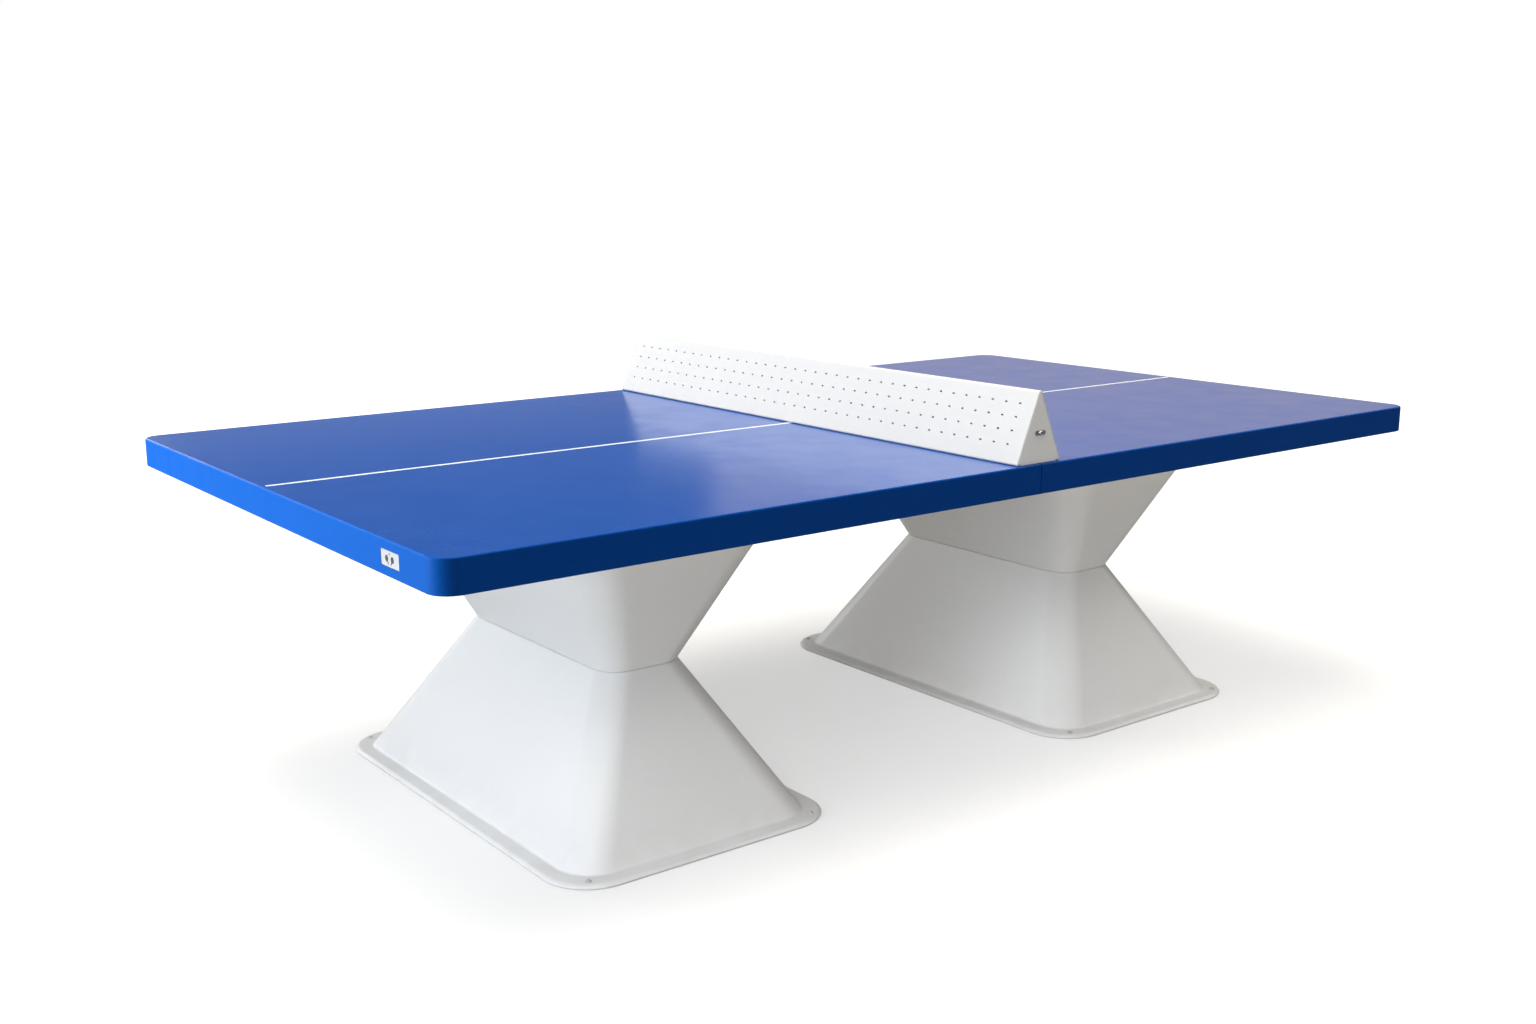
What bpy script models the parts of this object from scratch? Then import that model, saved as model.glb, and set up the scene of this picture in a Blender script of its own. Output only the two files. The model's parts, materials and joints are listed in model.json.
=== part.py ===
"""Fixed outdoor ping pong table with a two-half moulded top, a folded sheet net and two hourglass feet.

Units are metres and +Z is up. The origin is on the ground at the middle of the table. The length
runs along X, the width along Y, and the net stands on the seam between the two half tops at x = 0.
"""
import math
from collections import namedtuple

import bmesh
import bpy
from mathutils import Matrix, Vector

# Overall sizes
TABLE_LENGTH = 2.740
TABLE_WIDTH = 1.525
TABLE_HEIGHT = 0.760
CLEARANCE = 0.0003

# Half tops
DECK_DEPTH = 0.064
DECK_CORNER_RADIUS = 0.045
DECK_TOP_ARRIS = 0.004
DECK_BOTTOM_ARRIS = 0.003
DECK_SEAM_ARRIS = 0.001
DECK_SKIN = 0.005
DECK_WALL = 0.006
SEAM_GAP = 0.0020
PANEL_THICKNESS = 0.006

# Centre line and maker's plate, both let into the shell
LINE_WIDTH = 0.011
LINE_THICKNESS = 0.0006
LINE_END_MARGIN = 0.012
LINE_SEAM_MARGIN = 0.003
PLATE_SIZE = (0.070, 0.028)
PLATE_THICKNESS = 0.001
PLATE_CENTRE_Y = -0.587
PLATE_CENTRE_Z = 0.728
PLATE_CORNER_RADIUS = 0.003

# Net
NET_HEIGHT = 0.1525
NET_HALF_LENGTH = 0.754
NET_BASE_HALF_WIDTH = 0.0665
NET_SHEET = 0.003
NET_GAP_ABOVE_DECK = 0.0022
NET_RIDGE_RADIUS = 0.006
NET_LIP_WIDTH = 0.014
NET_BOLT_HEIGHT = 0.065
BRACKET_THICKNESS = 0.004
BRACKET_FOOT_HALF_WIDTH = 0.040
BRACKET_FOOT_LENGTH = 0.045
BRACKET_TAB_HALF_WIDTH = 0.018
BRACKET_TAB_HEIGHT = 0.085
BRACKET_BOSS_RADIUS = 0.009
BRACKET_BOSS_LENGTH = 0.008
BRACKET_SCREW_X = 0.024
BRACKET_SCREW_INSET = 0.029

# Feet
FOOT_X = TABLE_LENGTH / 4
BRIM_HALF_SIZE = (0.335, 0.545)
BRIM_WIDTH = 0.040
BRIM_THICKNESS = 0.010
BRIM_EDGE_RADIUS = 0.006
BRIM_FILLET = 0.008
BRIM_CORNER_RADIUS = 0.110
BASE_CORNER_RADIUS = 0.080
WAIST_HALF_SIZE = (0.100, 0.310)
WAIST_HEIGHT = 0.340
WAIST_CORNER_RADIUS = 0.060
WAIST_CHAMFER = 0.0015
FOOT_TOP_FLARE = 0.180
FOOT_TOP_CORNER_RADIUS = 0.110
FOOT_WALL = 0.007
FLANGE_THICKNESS = 0.006
WAIST_OPENING_INSET = 0.040
TOP_OPENING_INSET = 0.057
OPENING_RADIUS = 0.020
WAIST_FRAME_INSET = 0.012
TOP_FRAME_INSET = 0.018
FRAME_THICKNESS = 0.006
WAIST_BOLT = (0.0765, 0.180)
DECK_BOLT = (0.243, 0.360)
ANCHOR_ANGLE = math.radians(55)

# Joining plates under the seam
SEAM_PLATE_SIZE = (0.300, 0.080, 0.006)
SEAM_PLATE_Y = 0.450
SEAM_PLATE_CORNER = 0.010
SEAM_BOLT_X = 0.110

# Fasteners
Fastener = namedtuple("Fastener", ("shank_radius", "shank_length", "head_radius", "head_height",
                                   "washer_radius", "washer_height"))
DECK_BOLT_FORM = Fastener(0.005, 0.045, 0.0085, 0.0065, 0.012, 0.002)
WAIST_BOLT_FORM = Fastener(0.004, 0.017, 0.0065, 0.0055, 0.009, 0.0016)
SEAM_BOLT_FORM = Fastener(0.004, 0.036, 0.0065, 0.0055, 0.011, 0.0016)
BRACKET_SCREW_FORM = Fastener(0.003, 0.030, 0.0055, 0.0030, 0.0065, 0.0010)
NET_BOLT_FORM = Fastener(0.004, 0.013, 0.0050, 0.0040, 0.0055, 0.0015)
NET_WASHER_STRAIGHT = 0.020
ANCHOR_FORM = Fastener(0.004, 0.0092, 0.0065, 0.0030, 0.0085, 0.0012)
DOME_SHOULDER_WIDTH = 0.85
DOME_SHOULDER_HEIGHT = 0.70
DOME_CROWN_WIDTH = 0.45

# Mesh fineness, and how far a cutter runs past what it cuts
ROUND_SIDES = 12
CORNER_SEGMENTS = 6
BRIM_SEGMENTS = 3
RIDGE_SEGMENTS = 3
TOP_ARRIS_SEGMENTS = 3
BOTTOM_ARRIS_SEGMENTS = 2
SMOOTH_ANGLE = math.radians(30)
OVERRUN = 0.010
FLANGE_OVERRUN = 0.020

DECK_BOTTOM = TABLE_HEIGHT - DECK_DEPTH
BASE_FLARE = BRIM_HALF_SIZE[0] - BRIM_WIDTH - WAIST_HALF_SIZE[0]
FOOT_TOP = DECK_BOTTOM - CLEARANCE
UPPER_FOOT_BOTTOM = WAIST_HEIGHT + CLEARANCE
TOP_FRAME_BOTTOM = FOOT_TOP - FLANGE_THICKNESS - CLEARANCE - FRAME_THICKNESS
WAIST_FRAME_BOTTOM = WAIST_HEIGHT - FLANGE_THICKNESS - CLEARANCE - FRAME_THICKNESS

# Heights of the planes that the fasteners' washers bear on
DECK_BOLT_SEAT = TOP_FRAME_BOTTOM - CLEARANCE
WAIST_BOLT_SEAT = UPPER_FOOT_BOTTOM + FLANGE_THICKNESS + CLEARANCE
ANCHOR_SEAT = BRIM_THICKNESS + CLEARANCE
SEAM_BOLT_SEAT = DECK_BOTTOM - CLEARANCE - SEAM_PLATE_SIZE[2] - CLEARANCE
BRACKET_SCREW_SEAT = TABLE_HEIGHT + CLEARANCE + BRACKET_THICKNESS + CLEARANCE


# ---------------------------------------------------------------- materials and mesh helpers

def clear_scene():
    for existing in list(bpy.data.objects):
        bpy.data.objects.remove(existing, do_unlink=True)


def make_material(name, colour, roughness, metallic=0.0):
    material = bpy.data.materials.new(name)
    material.use_nodes = True
    shader = material.node_tree.nodes["Principled BSDF"]
    shader.inputs["Base Color"].default_value = (*colour, 1.0)
    shader.inputs["Roughness"].default_value = roughness
    shader.inputs["Metallic"].default_value = metallic
    material.diffuse_color = (*colour, 1.0)
    return material


def mesh_from_rings(name, rings, closed=False):
    """Skin a list of equal rings; closed joins the last ring to the first, otherwise both ends are capped."""
    build = bmesh.new()
    loops = [[build.verts.new(point) for point in ring] for ring in rings]
    pairs = list(zip(loops, loops[1:]))
    if closed:
        pairs.append((loops[-1], loops[0]))
    for lower, upper in pairs:
        count = len(lower)
        for index in range(count):
            following = (index + 1) % count
            build.faces.new((lower[index], lower[following], upper[following], upper[index]))
    if not closed:
        build.faces.new(loops[0])
        build.faces.new(loops[-1])
    bmesh.ops.recalc_face_normals(build, faces=build.faces)
    mesh = bpy.data.meshes.new(name)
    build.to_mesh(mesh)
    build.free()
    return mesh


def add_object(name, mesh, material, location=(0, 0, 0), rotation=(0, 0, 0), smooth=True):
    part = bpy.data.objects.new(name, mesh)
    bpy.context.collection.objects.link(part)
    part.location = location
    part.rotation_euler = rotation
    if not mesh.materials:
        mesh.materials.append(material)
    if smooth:
        mesh.shade_smooth()
        mesh.set_sharp_from_angle(angle=SMOOTH_ANGLE)
    return part


def box_geometry(build, low, high):
    size = Vector(high) - Vector(low)
    centre = (Vector(high) + Vector(low)) / 2
    placed = Matrix.Translation(centre) @ Matrix.Diagonal((*size, 1.0))
    bmesh.ops.create_cube(build, size=1.0, matrix=placed)


def cylinder_geometry(build, start, end, radius):
    direction = Vector(end) - Vector(start)
    turn = direction.to_track_quat("Z", "Y").to_matrix().to_4x4()
    placed = Matrix.Translation((Vector(start) + Vector(end)) / 2) @ turn
    bmesh.ops.create_cone(build, cap_ends=True, segments=ROUND_SIDES, radius1=radius, radius2=radius,
                          depth=direction.length, matrix=placed)


def mesh_from_fill(name, fill):
    """Make a mesh from the geometry that fill(build) adds."""
    build = bmesh.new()
    fill(build)
    mesh = bpy.data.meshes.new(name)
    build.to_mesh(mesh)
    build.free()
    return mesh


def add_cutter(name, mesh, location=(0, 0, 0)):
    cutter = bpy.data.objects.new(name, mesh)
    bpy.context.collection.objects.link(cutter)
    cutter.location = location
    cutter.hide_render = True
    cutter.display_type = "WIRE"
    return cutter


def apply_boolean(target, cutter, operation):
    modifier = target.modifiers.new(cutter.name, "BOOLEAN")
    modifier.operation = operation
    modifier.solver = "EXACT"
    modifier.object = cutter


def drill(target, holes, location=(0, 0, 0)):
    """Cut round holes given as (start, end, radius), measured from a location."""
    def fill(build):
        for start, end, radius in holes:
            cylinder_geometry(build, start, end, radius + CLEARANCE)
    name = target.name + "_holes"
    apply_boolean(target, add_cutter(name, mesh_from_fill(name, fill), location), "DIFFERENCE")


# ---------------------------------------------------------------- outlines

def arc_points(centre, radius, start_angle, sweep, segments):
    angles = [start_angle + sweep * step / segments for step in range(segments + 1)]
    return [(centre[0] + radius * math.cos(a), centre[1] + radius * math.sin(a)) for a in angles]


def rounded_rectangle(half_x, half_y, radius):
    points = []
    for quarter, (side_x, side_y) in enumerate(((1, 1), (-1, 1), (-1, -1), (1, -1))):
        centre = (side_x * (half_x - radius), side_y * (half_y - radius))
        points += arc_points(centre, radius, quarter * math.pi / 2, math.pi / 2, CORNER_SEGMENTS)
    return points


def half_deck_outline(side, outer_inset, seam_inset):
    """Plan outline of one half top; side is -1 for the left half and +1 for the right half."""
    seam_x = SEAM_GAP / 2 + seam_inset
    end_x = TABLE_LENGTH / 2 - outer_inset
    half_width = TABLE_WIDTH / 2 - outer_inset
    radius = DECK_CORNER_RADIUS - outer_inset
    quarter = math.pi / 2
    points = [(seam_x, -half_width)]
    points += arc_points((end_x - radius, -half_width + radius), radius, -quarter, quarter, CORNER_SEGMENTS)
    points += arc_points((end_x - radius, half_width - radius), radius, 0.0, quarter, CORNER_SEGMENTS)
    points.append((seam_x, half_width))
    return [(side * x, y) for x, y in points]


def at_height(outline, height):
    return [(x, y, height) for x, y in outline]


# ---------------------------------------------------------------- half tops

def arris_steps(radius, seam_radius, segments):
    """Yield (outer inset, seam inset, height above the arris start) around a quarter round."""
    for step in range(segments + 1):
        angle = math.pi / 2 * step / segments
        roll = 1 - math.cos(angle)
        yield radius * roll, seam_radius * roll, radius * math.sin(angle)


def deck_shell_mesh(side):
    inner = half_deck_outline(side, DECK_WALL, DECK_WALL)
    rings = [at_height(inner, TABLE_HEIGHT - DECK_SKIN), at_height(inner, DECK_BOTTOM)]
    lower = list(arris_steps(DECK_BOTTOM_ARRIS, DECK_SEAM_ARRIS, BOTTOM_ARRIS_SEGMENTS))
    for outer_inset, seam_inset, rise in reversed(lower):
        outline = half_deck_outline(side, outer_inset, seam_inset)
        rings.append(at_height(outline, DECK_BOTTOM + DECK_BOTTOM_ARRIS - rise))
    for outer_inset, seam_inset, rise in arris_steps(DECK_TOP_ARRIS, DECK_SEAM_ARRIS, TOP_ARRIS_SEGMENTS):
        outline = half_deck_outline(side, outer_inset, seam_inset)
        rings.append(at_height(outline, TABLE_HEIGHT - DECK_TOP_ARRIS + rise))
    return mesh_from_rings("deck_shell", rings)


def deck_board_mesh(side, bottom, top):
    outline = half_deck_outline(side, DECK_WALL + CLEARANCE, DECK_WALL + CLEARANCE)
    return mesh_from_rings("deck_board", [at_height(outline, bottom), at_height(outline, top)])


def line_extent(side):
    start = SEAM_GAP / 2 + LINE_SEAM_MARGIN
    end = TABLE_LENGTH / 2 - LINE_END_MARGIN
    return sorted((side * start, side * end))


def build_centre_line(name, side, shell, material):
    low_x, high_x = line_extent(side)
    half = LINE_WIDTH / 2
    bottom = TABLE_HEIGHT - LINE_THICKNESS
    gap = CLEARANCE

    def fill_line(build):
        box_geometry(build, (low_x, -half, bottom), (high_x, half, TABLE_HEIGHT))

    def fill_groove(build):
        box_geometry(build, (low_x - gap, -half - gap, bottom - gap),
                     (high_x + gap, half + gap, TABLE_HEIGHT + OVERRUN))

    add_object(name, mesh_from_fill(name, fill_line), material, smooth=False)
    groove = add_cutter(name + "_groove", mesh_from_fill(name + "_groove", fill_groove))
    apply_boolean(shell, groove, "DIFFERENCE")


def build_half_top(label, side, materials):
    shell = add_object("deck_shell_" + label, deck_shell_mesh(side), materials["deck"])
    core_bottom = DECK_BOTTOM + PANEL_THICKNESS + CLEARANCE
    core_top = TABLE_HEIGHT - DECK_SKIN - CLEARANCE
    core = add_object("deck_core_" + label, deck_board_mesh(side, core_bottom, core_top), materials["core"])
    panel_mesh = deck_board_mesh(side, DECK_BOTTOM, DECK_BOTTOM + PANEL_THICKNESS)
    panel = add_object("deck_underside_" + label, panel_mesh, materials["panel"])
    build_centre_line("centre_line_" + label, side, shell, materials["line"])

    below = DECK_BOTTOM - OVERRUN
    deck_tip = DECK_BOLT_SEAT + DECK_BOLT_FORM.shank_length + CLEARANCE
    seam_tip = SEAM_BOLT_SEAT + SEAM_BOLT_FORM.shank_length + CLEARANCE
    seam_points = [(side * SEAM_BOLT_X, y) for y in (-SEAM_PLATE_Y, SEAM_PLATE_Y)]
    from_below = through_holes(deck_bolt_points(side), below, deck_tip, DECK_BOLT_FORM.shank_radius)
    from_below += through_holes(seam_points, below, seam_tip, SEAM_BOLT_FORM.shank_radius)
    screw_tip = BRACKET_SCREW_SEAT - BRACKET_SCREW_FORM.shank_length - CLEARANCE
    screw_points = [(x, y) for x, y in bracket_screw_points() if x * side > 0]
    from_above = through_holes(screw_points, screw_tip, TABLE_HEIGHT + OVERRUN,
                               BRACKET_SCREW_FORM.shank_radius)
    drill(panel, from_below)
    drill(core, from_below + from_above)
    drill(shell, from_above)
    return shell


def build_maker_plate(shell, material):
    """A blank plate let into the left end face, flush with it."""
    half_y, half_z = PLATE_SIZE[0] / 2, PLATE_SIZE[1] / 2
    face_x = -TABLE_LENGTH / 2 + CLEARANCE
    outline = rounded_rectangle(half_y, half_z, PLATE_CORNER_RADIUS)
    rings = [[(x, PLATE_CENTRE_Y + u, PLATE_CENTRE_Z + v) for u, v in outline]
             for x in (face_x, face_x + PLATE_THICKNESS)]
    add_object("maker_plate", mesh_from_rings("maker_plate", rings), material)
    seat = rounded_rectangle(half_y + CLEARANCE, half_z + CLEARANCE, PLATE_CORNER_RADIUS + CLEARANCE)
    seat_floor = face_x + PLATE_THICKNESS + CLEARANCE
    seat_rings = [[(x, PLATE_CENTRE_Y + u, PLATE_CENTRE_Z + v) for u, v in seat]
                  for x in (face_x - OVERRUN, seat_floor)]
    cutter = add_cutter("maker_plate_seat", mesh_from_rings("maker_plate_seat", seat_rings))
    apply_boolean(shell, cutter, "DIFFERENCE")


# ---------------------------------------------------------------- fasteners

def circle(radius, height):
    steps = [2 * math.pi * index / ROUND_SIDES for index in range(ROUND_SIDES)]
    return [(radius * math.cos(a), radius * math.sin(a), height) for a in steps]


def obround(radius, straight, height):
    """Circle drawn out along X by a straight run, its points half a step round from the circle's."""
    points = []
    for index in range(ROUND_SIDES):
        angle = 2 * math.pi * (index + 0.5) / ROUND_SIDES
        x = radius * math.cos(angle)
        points.append((x + math.copysign(straight / 2, x), radius * math.sin(angle), height))
    return points


def hexagon(radius, height):
    """Twelve points on a hexagon: its corners and the middles of its flats."""
    points = []
    for index in range(ROUND_SIDES):
        angle = 2 * math.pi * index / ROUND_SIDES
        reach = radius if index % 2 == 0 else radius * math.cos(math.pi / 6)
        points.append((reach * math.cos(angle), reach * math.sin(angle), height))
    return points


def fastener_mesh(name, form, hexagonal, washer_straight=0.0):
    """Head above the local z = 0 bearing plane, shank below it; a straight run makes a long washer."""
    rings = [circle(form.shank_radius, -form.shank_length), circle(form.shank_radius, 0.0)]
    for height in (0.0, form.washer_height):
        if washer_straight:
            rings.append(obround(form.washer_radius, washer_straight, height))
        else:
            rings.append(circle(form.washer_radius, height))
    top = form.washer_height + form.head_height
    if hexagonal:
        rings += [hexagon(form.head_radius, form.washer_height), hexagon(form.head_radius, top)]
    else:
        shoulder = form.washer_height + form.head_height * DOME_SHOULDER_HEIGHT
        rings += [circle(form.head_radius, form.washer_height),
                  circle(form.head_radius * DOME_SHOULDER_WIDTH, shoulder),
                  circle(form.head_radius * DOME_CROWN_WIDTH, top)]
    return mesh_from_rings(name, rings)


def place_fasteners(prefix, mesh, material, places, rotation):
    for number, location in enumerate(places, start=1):
        add_object(f"{prefix}_{number}", mesh, material, location, rotation)


# ---------------------------------------------------------------- seam joining plates

def build_seam_plates(materials):
    length, width, thickness = SEAM_PLATE_SIZE
    top = DECK_BOTTOM - CLEARANCE
    bolt_mesh = fastener_mesh("seam_bolt", SEAM_BOLT_FORM, True)
    for label, plate_y in (("near", -SEAM_PLATE_Y), ("far", SEAM_PLATE_Y)):
        corners = rounded_rectangle(length / 2, width / 2, SEAM_PLATE_CORNER)
        outline = [(x, plate_y + y) for x, y in corners]
        rings = [at_height(outline, top - thickness), at_height(outline, top)]
        plate = add_object("seam_plate_" + label, mesh_from_rings("seam_plate", rings), materials["steel"])
        points = [(-SEAM_BOLT_X, plate_y), (SEAM_BOLT_X, plate_y)]
        drill(plate, through_holes(points, top - FLANGE_OVERRUN, top + OVERRUN, SEAM_BOLT_FORM.shank_radius))
        places = at_height(points, SEAM_BOLT_SEAT)
        place_fasteners("seam_bolt_" + label, bolt_mesh, materials["fastener"], places, (math.pi, 0, 0))


# ---------------------------------------------------------------- net

def net_profile(inset, lip_end):
    """Half of the net's section, from its lip's end up to the ridge, as (x, z) with x >= 0."""
    base_z = TABLE_HEIGHT + NET_GAP_ABOVE_DECK
    ridge_centre = Vector((0.0, TABLE_HEIGHT + NET_HEIGHT - NET_RIDGE_RADIUS))
    foot = Vector((NET_BASE_HALF_WIDTH, base_z))
    reach = ridge_centre - foot
    lean = math.atan2(reach.y, -reach.x) + math.asin(NET_RIDGE_RADIUS / reach.length)
    radius = NET_RIDGE_RADIUS - inset
    normal_angle = math.pi / 2 - lean
    slope_foot = foot - Vector((math.cos(normal_angle), math.sin(normal_angle))) * inset
    corner_z = base_z + inset
    along = Vector((-math.cos(lean), math.sin(lean)))
    corner = slope_foot + along * ((corner_z - slope_foot.y) / along.y)
    arc = arc_points(ridge_centre, radius, normal_angle, math.pi / 2 - normal_angle, RIDGE_SEGMENTS)
    return [(lip_end, corner_z), (corner.x, corner_z)] + arc


def net_section():
    lip_end = NET_BASE_HALF_WIDTH - NET_LIP_WIDTH
    outer = net_profile(0.0, lip_end)
    inner = net_profile(NET_SHEET, lip_end)
    outer_full = outer + [(-x, z) for x, z in reversed(outer[:-1])]
    inner_full = inner + [(-x, z) for x, z in reversed(inner[:-1])]
    return outer_full + inner_full[::-1]


def build_net_sheet(materials):
    section = net_section()
    rings = [[(x, y, z) for x, z in section] for y in (-NET_HALF_LENGTH, NET_HALF_LENGTH)]
    add_object("net_sheet", mesh_from_rings("net_sheet", rings), materials["net"])


def net_end_tongue(shoulder_z):
    """The end plate's tongue between the sheet's lips, from its left shoulder to its right, as (x, z)."""
    half = NET_BASE_HALF_WIDTH - NET_LIP_WIDTH - CLEARANCE
    base_z = TABLE_HEIGHT + NET_GAP_ABOVE_DECK
    return [(-half, shoulder_z), (-half, base_z), (half, base_z), (half, shoulder_z)]


def build_net_end(label, side, materials):
    """End plate, its bolt and the bracket behind it, at the near (-1) or far (+1) end of the net."""
    half = net_profile(NET_SHEET + CLEARANCE, 0.0)[1:]
    outline = half + [(-x, z) for x, z in reversed(half[:-1])] + net_end_tongue(half[0][1])
    outer_y = side * NET_HALF_LENGTH
    inner_y = side * (NET_HALF_LENGTH - NET_SHEET)
    rings = [[(x, y, z) for x, z in outline] for y in (outer_y, inner_y)]
    plate = add_object("net_end_plate_" + label, mesh_from_rings("net_end_plate", rings), materials["net"])
    bolt_z = TABLE_HEIGHT + NET_BOLT_HEIGHT
    hole_start = (0, outer_y + side * OVERRUN, bolt_z)
    hole_end = (0, outer_y - side * BRACKET_FOOT_LENGTH, bolt_z)
    hole = [(hole_start, hole_end, NET_BOLT_FORM.shank_radius)]
    drill(plate, hole)
    build_net_bracket(label, side, hole, materials)
    turn = (-side * math.pi / 2, 0, 0)
    bolt_mesh = fastener_mesh("net_bolt", NET_BOLT_FORM, False, NET_WASHER_STRAIGHT)
    bolt_y = outer_y + side * CLEARANCE
    add_object("net_bolt_" + label, bolt_mesh, materials["fastener"], (0, bolt_y, bolt_z), turn)


def bracket_screw_points():
    screw_y = NET_HALF_LENGTH - NET_SHEET - CLEARANCE - BRACKET_SCREW_INSET
    return [(x, y) for y in (-screw_y, screw_y) for x in (-BRACKET_SCREW_X, BRACKET_SCREW_X)]


def build_net_bracket(label, side, bolt_hole, materials):
    """Folded bracket with a foot on both half tops and a tab with a welded boss for the end bolt."""
    foot_z = TABLE_HEIGHT + CLEARANCE
    tab_face = NET_HALF_LENGTH - NET_SHEET - CLEARANCE
    outline = [(0.0, 0.0), (BRACKET_FOOT_LENGTH, 0.0), (BRACKET_FOOT_LENGTH, BRACKET_THICKNESS),
               (BRACKET_THICKNESS, BRACKET_THICKNESS), (BRACKET_THICKNESS, BRACKET_TAB_HEIGHT),
               (0.0, BRACKET_TAB_HEIGHT)]
    rings = []
    for edge in (-1, 1):
        ring = []
        for inward, rise in outline:
            half = BRACKET_TAB_HALF_WIDTH if rise > BRACKET_THICKNESS else BRACKET_FOOT_HALF_WIDTH
            ring.append((edge * half, side * (tab_face - inward), foot_z + rise))
        rings.append(ring)
    name = "net_bracket_" + label
    bracket = add_object(name, mesh_from_rings(name, rings), materials["steel"], smooth=False)
    bolt_z = TABLE_HEIGHT + NET_BOLT_HEIGHT
    boss_start = (0, side * (tab_face - BRACKET_THICKNESS / 2), bolt_z)
    boss_end = (0, side * (tab_face - BRACKET_THICKNESS - BRACKET_BOSS_LENGTH), bolt_z)

    def fill_boss(build):
        cylinder_geometry(build, boss_start, boss_end, BRACKET_BOSS_RADIUS)

    boss = add_cutter(name + "_boss", mesh_from_fill(name + "_boss", fill_boss))
    apply_boolean(bracket, boss, "UNION")
    points = [(x, y) for x, y in bracket_screw_points() if y * side > 0]
    screw_holes = through_holes(points, foot_z - OVERRUN, foot_z + OVERRUN, BRACKET_SCREW_FORM.shank_radius)
    drill(bracket, bolt_hole + screw_holes)
    screw_mesh = fastener_mesh("bracket_screw", BRACKET_SCREW_FORM, False)
    places = at_height(points, BRACKET_SCREW_SEAT)
    place_fasteners("bracket_screw_" + label, screw_mesh, materials["fastener"], places, (0, 0, 0))


# ---------------------------------------------------------------- feet

def foot_ring(outset, height, radius):
    """Rounded rectangle around the foot's axis; outset is measured from the waist's outer face."""
    outline = rounded_rectangle(WAIST_HALF_SIZE[0] + outset, WAIST_HALF_SIZE[1] + outset, radius)
    return at_height(outline, height)


def lower_wall(height):
    """Outset and corner radius of the lower shell's outer wall at a height above the brim."""
    share = (height - BRIM_THICKNESS) / (WAIST_HEIGHT - BRIM_THICKNESS)
    radius = BASE_CORNER_RADIUS + (WAIST_CORNER_RADIUS - BASE_CORNER_RADIUS) * share
    return BASE_FLARE * (1 - share), radius


def upper_wall(height):
    share = (height - UPPER_FOOT_BOTTOM) / (FOOT_TOP - UPPER_FOOT_BOTTOM)
    radius = WAIST_CORNER_RADIUS + (FOOT_TOP_CORNER_RADIUS - WAIST_CORNER_RADIUS) * share
    return FOOT_TOP_FLARE * share, radius


def brim_rings():
    """From the bottom outer edge of the brim, over its rounded lip and in to the fillet's top."""
    brim_outset = BASE_FLARE + BRIM_WIDTH
    rings = [foot_ring(brim_outset, 0.0, BRIM_CORNER_RADIUS)]
    lip_height = BRIM_THICKNESS - BRIM_EDGE_RADIUS
    for step in range(BRIM_SEGMENTS + 1):
        angle = math.pi / 2 * step / BRIM_SEGMENTS
        inset = BRIM_EDGE_RADIUS * (1 - math.cos(angle))
        height = lip_height + BRIM_EDGE_RADIUS * math.sin(angle)
        rings.append(foot_ring(brim_outset - inset, height, BRIM_CORNER_RADIUS - inset))
    lean = math.atan2(WAIST_HEIGHT - BRIM_THICKNESS, BASE_FLARE)
    fillet_start = BRIM_FILLET * math.tan(lean / 2)
    for step in range(BRIM_SEGMENTS + 1):
        angle = -math.pi / 2 - lean * step / BRIM_SEGMENTS
        outset = fillet_start + BRIM_FILLET * math.cos(angle)
        height = BRIM_THICKNESS + BRIM_FILLET * (1 + math.sin(angle))
        rings.append(foot_ring(BASE_FLARE + outset, height, BASE_CORNER_RADIUS + outset))
    return rings


def lower_shell_mesh():
    rings = brim_rings()
    outset, radius = lower_wall(WAIST_HEIGHT - WAIST_CHAMFER)
    rings.append(foot_ring(outset, WAIST_HEIGHT - WAIST_CHAMFER, radius))
    rings.append(foot_ring(-WAIST_CHAMFER, WAIST_HEIGHT, WAIST_CORNER_RADIUS - WAIST_CHAMFER))
    rings.append(foot_ring(-WAIST_OPENING_INSET, WAIST_HEIGHT, OPENING_RADIUS))
    flange_bottom = WAIST_HEIGHT - FLANGE_THICKNESS
    rings.append(foot_ring(-WAIST_OPENING_INSET, flange_bottom, OPENING_RADIUS))
    outset, radius = lower_wall(flange_bottom)
    rings.append(foot_ring(outset - FOOT_WALL, flange_bottom, radius - FOOT_WALL))
    rings.append(foot_ring(BASE_FLARE - FOOT_WALL, 0.0, BASE_CORNER_RADIUS - FOOT_WALL))
    return mesh_from_rings("foot_lower_shell", rings, closed=True)


def upper_shell_mesh():
    bottom = UPPER_FOOT_BOTTOM
    outset, radius = upper_wall(bottom + WAIST_CHAMFER)
    rings = [foot_ring(-WAIST_CHAMFER, bottom, WAIST_CORNER_RADIUS - WAIST_CHAMFER),
             foot_ring(outset, bottom + WAIST_CHAMFER, radius),
             foot_ring(FOOT_TOP_FLARE, FOOT_TOP, FOOT_TOP_CORNER_RADIUS)]
    top_opening = FOOT_TOP_FLARE - TOP_OPENING_INSET
    under_flange = FOOT_TOP - FLANGE_THICKNESS
    rings.append(foot_ring(top_opening, FOOT_TOP, OPENING_RADIUS))
    rings.append(foot_ring(top_opening, under_flange, OPENING_RADIUS))
    outset, radius = upper_wall(under_flange)
    rings.append(foot_ring(outset - FOOT_WALL, under_flange, radius - FOOT_WALL))
    over_flange = bottom + FLANGE_THICKNESS
    outset, radius = upper_wall(over_flange)
    rings.append(foot_ring(outset - FOOT_WALL, over_flange, radius - FOOT_WALL))
    rings.append(foot_ring(-WAIST_OPENING_INSET, over_flange, OPENING_RADIUS))
    rings.append(foot_ring(-WAIST_OPENING_INSET, bottom, OPENING_RADIUS))
    return mesh_from_rings("foot_upper_shell", rings, closed=True)


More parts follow.
